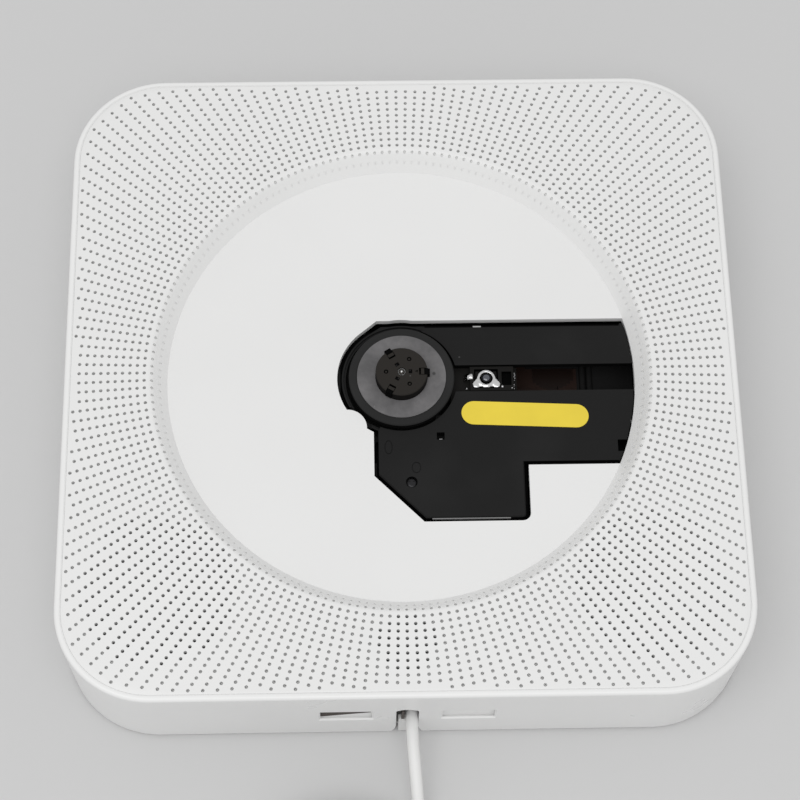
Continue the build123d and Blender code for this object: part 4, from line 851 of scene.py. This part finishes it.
def add_bell(material):
    """Pressed cover over the lens holder, with its rounded arms."""
    arc = [(BELL_RING * cos(turn), BELL_RING * sin(turn)) for turn in BELL_ARC]
    outer = arc + list(BELL_SIDE) + [(-x, y) for x, y in reversed(BELL_SIDE)]
    inner = circle(0, 0, BELL_WINDOW * MM, BELL_WINDOW_SIDES)
    points = [Vector((x, y)) * MM for x, y in outer] + [Vector(place) for place in inner]
    edges = [(k, (k + 1) % len(outer)) for k in range(len(outer))]
    sides = BELL_WINDOW_SIDES
    edges += [(len(outer) + k, len(outer) + (k + 1) % sides) for k in range(sides)]
    for row in range(-10, 10):
        for column in range(-13, 14):
            place = Vector((column * BELL_GRID, row * BELL_GRID)) * MM
            if place.length > (BELL_WINDOW + BELL_MARGIN) * MM:
                points.append(place)
    made, _, triangles, *_ = delaunay_2d_cdt(points, edges, [], 0, BELL_MERGE)
    kept = []
    outline = [Vector(place) * MM for place in outer]
    for face in triangles:
        centre = sum((made[number] for number in face), Vector((0, 0))) / len(face)
        if centre.length > BELL_WINDOW * MM and inside_outline(centre, outline):
            kept.append(tuple(face))
    middle = (corner("lens", 0) + corner("lens", 1)) / 2
    places = []
    for place in made:
        height = bell_height(place.x / MM, place.y / MM) * MM
        places.append(Vector((place.x + middle.x, place.y, height)))
    bell = add_mesh("lens_cover_bell", places, kept, material, "sled",
                    radians(60))
    gauge = bell.modifiers.new("gauge", "SOLIDIFY")
    gauge.thickness = BELL_GAUGE
    gauge.offset = -1
    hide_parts("lens_cover")


POCKET_X = 16.75 * MM
POCKET_HALF = 7.55 * MM
POCKET_LOW = 13.55 * MM
POCKET_TOP = 22.25 * MM
POCKET_CHAMFER = 0.5 * MM
# back face of a pocket at its lowest edge, and how much it leans, in mm
POCKET_BACK = -94.1
POCKET_LEAN = 0.115
# (x, z) outline in mm of the painted shadow in the left pocket, and how far proud of the back face
# its two faces stand
POCKET_SHADOW_OUTLINE = ((-23.9, 17.6), (-10.0, 17.6), (-10.0, 16.9), (-23.0, 14.5), (-23.9, 14.5))
POCKET_SHADOW_PROUD = (0.06, -0.1)


def add_pocket_chamfer(name, side, material):
    """Bevelled frame just inside the mouth of a pocket in the bottom wall."""
    wall = corner("side_shell", 0).y

    def rectangle(inset, y):
        x0 = side * POCKET_X - POCKET_HALF + inset
        x1 = side * POCKET_X + POCKET_HALF - inset
        low = POCKET_LOW + inset
        top = POCKET_TOP - inset
        return [(x0, y, low), (x1, y, low), (x1, y, top), (x0, y, top)]

    deep = wall + POCKET_CHAMFER
    loops = [rectangle(0, wall), rectangle(POCKET_CHAMFER, deep), rectangle(0, deep)]
    ring_mesh(name, loops, material)


def add_pocket_top_shadow(material):
    """Painted shadow under the top edge of the left pocket: a dark tapering sheet on its back face.
    """
    points = []
    for proud in POCKET_SHADOW_PROUD:
        for x, z in POCKET_SHADOW_OUTLINE:
            y = POCKET_BACK + POCKET_LEAN * (z - POCKET_LOW / MM) - proud
            points.append(Vector((x, y, z)) * MM)
    count = len(POCKET_SHADOW_OUTLINE)
    faces = [tuple(range(count)), tuple(range(2 * count - 1, count - 1, -1))]
    faces += [(k, k + count, (k + 1) % count + count, (k + 1) % count) for k in range(count)]
    add_mesh("pocket_top_shadow", points, faces, material, "housing")


HUB_TOP = corner("hub", 1).z / MM
CLAWS = 3
# blocks on the hub in mm, before their turn about the spindle
CLAW_NOSE = (
    (6.9, 8.0, -0.9, 0.9, 32.5, HUB_TOP - 0.25),
    (6.4, 7.6, -0.9, 0.9, HUB_TOP - 0.3, HUB_TOP - 0.05),
)
# dark block in each window of the hub: painted shade
HUB_WINDOW = ((2.0, 3.0, -0.6, 0.6, HUB_TOP - 0.4, HUB_TOP + 0.01),)
HUB_WINDOW_RIB = ((2.25, 2.5, 0.1, 0.4, HUB_TOP, HUB_TOP + 0.03),)
DIMPLE_REACH = 4.4
DIMPLE_TURNS = (pi / 3, pi, 5 * pi / 3)
PIT_DEPTH = 0.6
PIT_RADIUS = 0.74
PIN_DEPTH = 0.22
PIN_RADIUS = 0.38
SHAFT_TOP = corner("spindle_shaft", 1).z / MM
SHAFT_TIP = ((0, 0, SHAFT_TOP - 0.25, 1.03),)
# small bright steel dome on the shaft's tip: a painted highlight
SHAFT_GLINT = ((-0.02, -0.1, SHAFT_TOP + 0.42, 0.36),)


def turned_boxes(name, boxes, angle, material, body):
    """Blocks as in add_boxes, turned about the spindle by an angle in degrees."""
    piece = add_boxes(name, boxes, material, body)
    turn = Matrix.Rotation(radians(angle), 4, "Z")
    for vertex in piece.data.vertices:
        vertex.co = turn @ vertex.co


def add_hub_marks(materials):
    """Noses of the claws and dark blocks and domes in the hub's windows and dimples, all painted
    shade, and the rounded shaft tip with a painted highlight dot.
    """
    dark = materials["sled_shade"]
    black = materials["hub_black"]
    rib = materials["turntable_black"]
    for claw in range(CLAWS):
        angle = claw * 360 / CLAWS
        number = claw + 1
        # claw noses in the near-black shade finish, darker than the hub: painted shade in place of
        # their shadow
        turned_boxes(f"claw_nose_{number}", CLAW_NOSE, angle, dark, f"claw_{number}")
        turned_boxes(f"hub_window_{number}", HUB_WINDOW, angle, dark, "spindle")
        turned_boxes(f"hub_window_rib_{number}", HUB_WINDOW_RIB, angle, rib, "spindle")
    places = [(DIMPLE_REACH * cos(turn), DIMPLE_REACH * sin(turn)) for turn in DIMPLE_TURNS]
    # dark domes in the dimples are painted shade; the pins on them keep the hub's colour
    pits = [(x, y, HUB_TOP - PIT_DEPTH, PIT_RADIUS) for x, y in places]
    pins = [(x, y, HUB_TOP - PIN_DEPTH, PIN_RADIUS) for x, y in places]
    add_domes("hub_dimple_pit_shades", pits, dark, "spindle")
    add_domes("hub_dimple_pins", pins, black, "spindle")
    add_domes("shaft_tip", SHAFT_TIP, materials["shaft_dark"], "spindle")
    add_domes("shaft_glint", SHAFT_GLINT, materials["shaft_steel"], "spindle")


SEAL_TOP = front - 0.14 * MM
SEAL_LOW = front - 0.6 * MM


def add_gap_seal(material):
    """Strip that closes the fine gap between the panel and the rim just below the surface."""
    inner = rounded_square(panel_half, PANEL_CORNER, CORNER_STEPS)
    outer = rounded_square(panel_half + PANEL_GAP, PANEL_CORNER + PANEL_GAP, CORNER_STEPS)
    section = ((inner, SEAL_TOP), (outer, SEAL_TOP), (outer, SEAL_LOW), (inner, SEAL_LOW))
    loops = [[(x, y, height) for x, y in ring] for ring, height in section]
    ring_mesh("panel_gap_seal", loops, material)


PLATED_EDGE = [(32.3 + shift, 32.48 + shift, y, y + length, 26.8, 27.2)
               for y, shift, length in EDGE_TEETH]
# painted shadow on the ribbon: side by side strips whose lower ends follow a shallow curve
RIBBON_SHADOW = [
    (38.6 + strip, 39.6 + strip, 2.3 + 3.0 * ((strip - 5.2) / 6) ** 2, 8.9, 14.5, 14.56)
    for strip in range(12)
]
# blocks in mm, with their finish, body and slot
TRIM_BLOCKS = {
    "pickup_plated_edge": (PLATED_EDGE, "motor_steel", "sled", "motor_steel"),
    # dark sheet at the bottom of the pickup's pocket: painted shade
    "pickup_pocket_shade": (
        [(28.62, 31.38, -2.08, 2.08, 27.42, 27.5)], "sled_shade", "sled", "sled_black"),
    # black strip on the ledge under the cover's edge: painted shade
    "cover_ledge_shade": (
        [(6.95, 63.0, 15.97, 16.68, 28.5, 28.53)], "sled_shade", "housing", "mech_black"),
    "cover_tab": (
        [(20.9, 23.2, 16.2, 16.6, 28.53, 28.7)], "screw_steel", "housing", "screw_steel"),
    "latch_tongue": (
        [(10.4, 11.3, -17.9, -17.4, 26.4, 26.6)], "screw_steel", "housing", "screw_steel"),
    # light grey strip along the bevel at the cover's foot: a painted highlight
    "cover_foot_highlight": (
        [(7.8, 29.6, -42.36, -42.1, 28.1, 28.9)], "bevel_grey", "housing", "mech_black"),
    # brown sheet in the gap beside the cord in the notch: painted shade
    "notch_slot_shade": (
        [(-1.6, -0.78, -94.35, -93.7, 8.5, 18.8)], "pocket_brown", "housing", "dark_plastic"),
    # thin dark line across the ribbon: the painted shade of a fold
    "ribbon_fold_shade": (
        [(45.8, 45.95, -9.0, 3.4, 14.5, 14.6)], "sled_shade", "housing", "flex_amber"),
    "ribbon_shadow": (RIBBON_SHADOW, "flex_dark", "housing", "flex_amber"),
}


def add_trim(materials):
    """Small pieces of the pickup, the hub, the cover and the housing."""
    def add_blocks(*names):
        for name in names:
            boxes, finish, body, slot_name = TRIM_BLOCKS[name]
            add_boxes(name, boxes, materials[finish], body)

    steel = materials["motor_steel"]
    shell = materials["shell_white"]
    add_bell(materials["lens_cover_chrome"])
    bent_strip("pickup_spring", SPRING_PROFILE, *SPRING_Y, materials["shaft_steel"], "shaft_steel")
    add_domes("pickup_solder", SOLDER_DOTS, steel, "sled")
    add_blocks("pickup_plated_edge", "pickup_pocket_shade", "cover_ledge_shade", "cover_tab",
               "latch_tongue", "cover_foot_highlight")
    add_pocket_chamfer("pocket_chamfer_left", -1, shell)
    add_pocket_chamfer("pocket_chamfer_right", 1, shell)
    add_gap_seal(materials["panel_white"])
    add_pocket_top_shadow(materials["pocket_brown"])
    add_blocks("notch_slot_shade")
    add_hub_marks(materials)
    add_blocks("ribbon_fold_shade", "ribbon_shadow")


# ---------------------------------------------------------------- stage
FLOOR_GREY = 0.62
FLOOR_HALF = 3.0
WORLD_STRENGTH = 0.70
SOFTBOX_PLACE = (-0.2, -0.5, 1.5)
SOFTBOX_SIZE = (1.4, 1.0)
SOFTBOX_POWER = 8.5


def add_floor():
    corners = [(x * FLOOR_HALF, y * FLOOR_HALF, 0) for x, y in ((-1, -1), (1, -1), (1, 1), (-1, 1))]
    mesh = bpy.data.meshes.new("floor")
    mesh.from_pydata(corners, [], [(0, 1, 2, 3)])
    floor = bpy.data.objects.new("floor", mesh)
    bpy.context.scene.collection.objects.link(floor)
    made = Material("floor_paper", (FLOOR_GREY,) * 3, 0.9, specular=0.1)
    mesh.materials.append(made.data)


def add_light(name, place, aim, width, height, power):
    data = bpy.data.lights.new(name, "AREA")
    data.shape = "RECTANGLE"
    data.size = width
    data.size_y = height
    data.energy = power
    light = bpy.data.objects.new(name, data)
    light.location = place
    light.rotation_euler = (Vector(aim) - Vector(place)).to_track_quat("-Z", "Y").to_euler()
    bpy.context.scene.collection.objects.link(light)


def add_world(strength):
    world = bpy.data.worlds.new("studio")
    world.use_nodes = True
    background = world.node_tree.nodes["Background"]
    background.inputs["Color"].default_value = (1, 1, 1, 1)
    background.inputs["Strength"].default_value = strength
    bpy.context.scene.world = world


def add_stage():
    add_floor()
    add_world(WORLD_STRENGTH)
    add_light("softbox", SOFTBOX_PLACE, (0, 0, 0), *SOFTBOX_SIZE, SOFTBOX_POWER)
    bpy.context.scene.view_settings.view_transform = "Standard"


# ---------------------------------------------------------------- making
add_camera()
materials = make_materials()
dress_nodes(materials)
add_cord(materials)
perforated_panel(materials["panel_white"])
add_trim(materials)
add_stage()
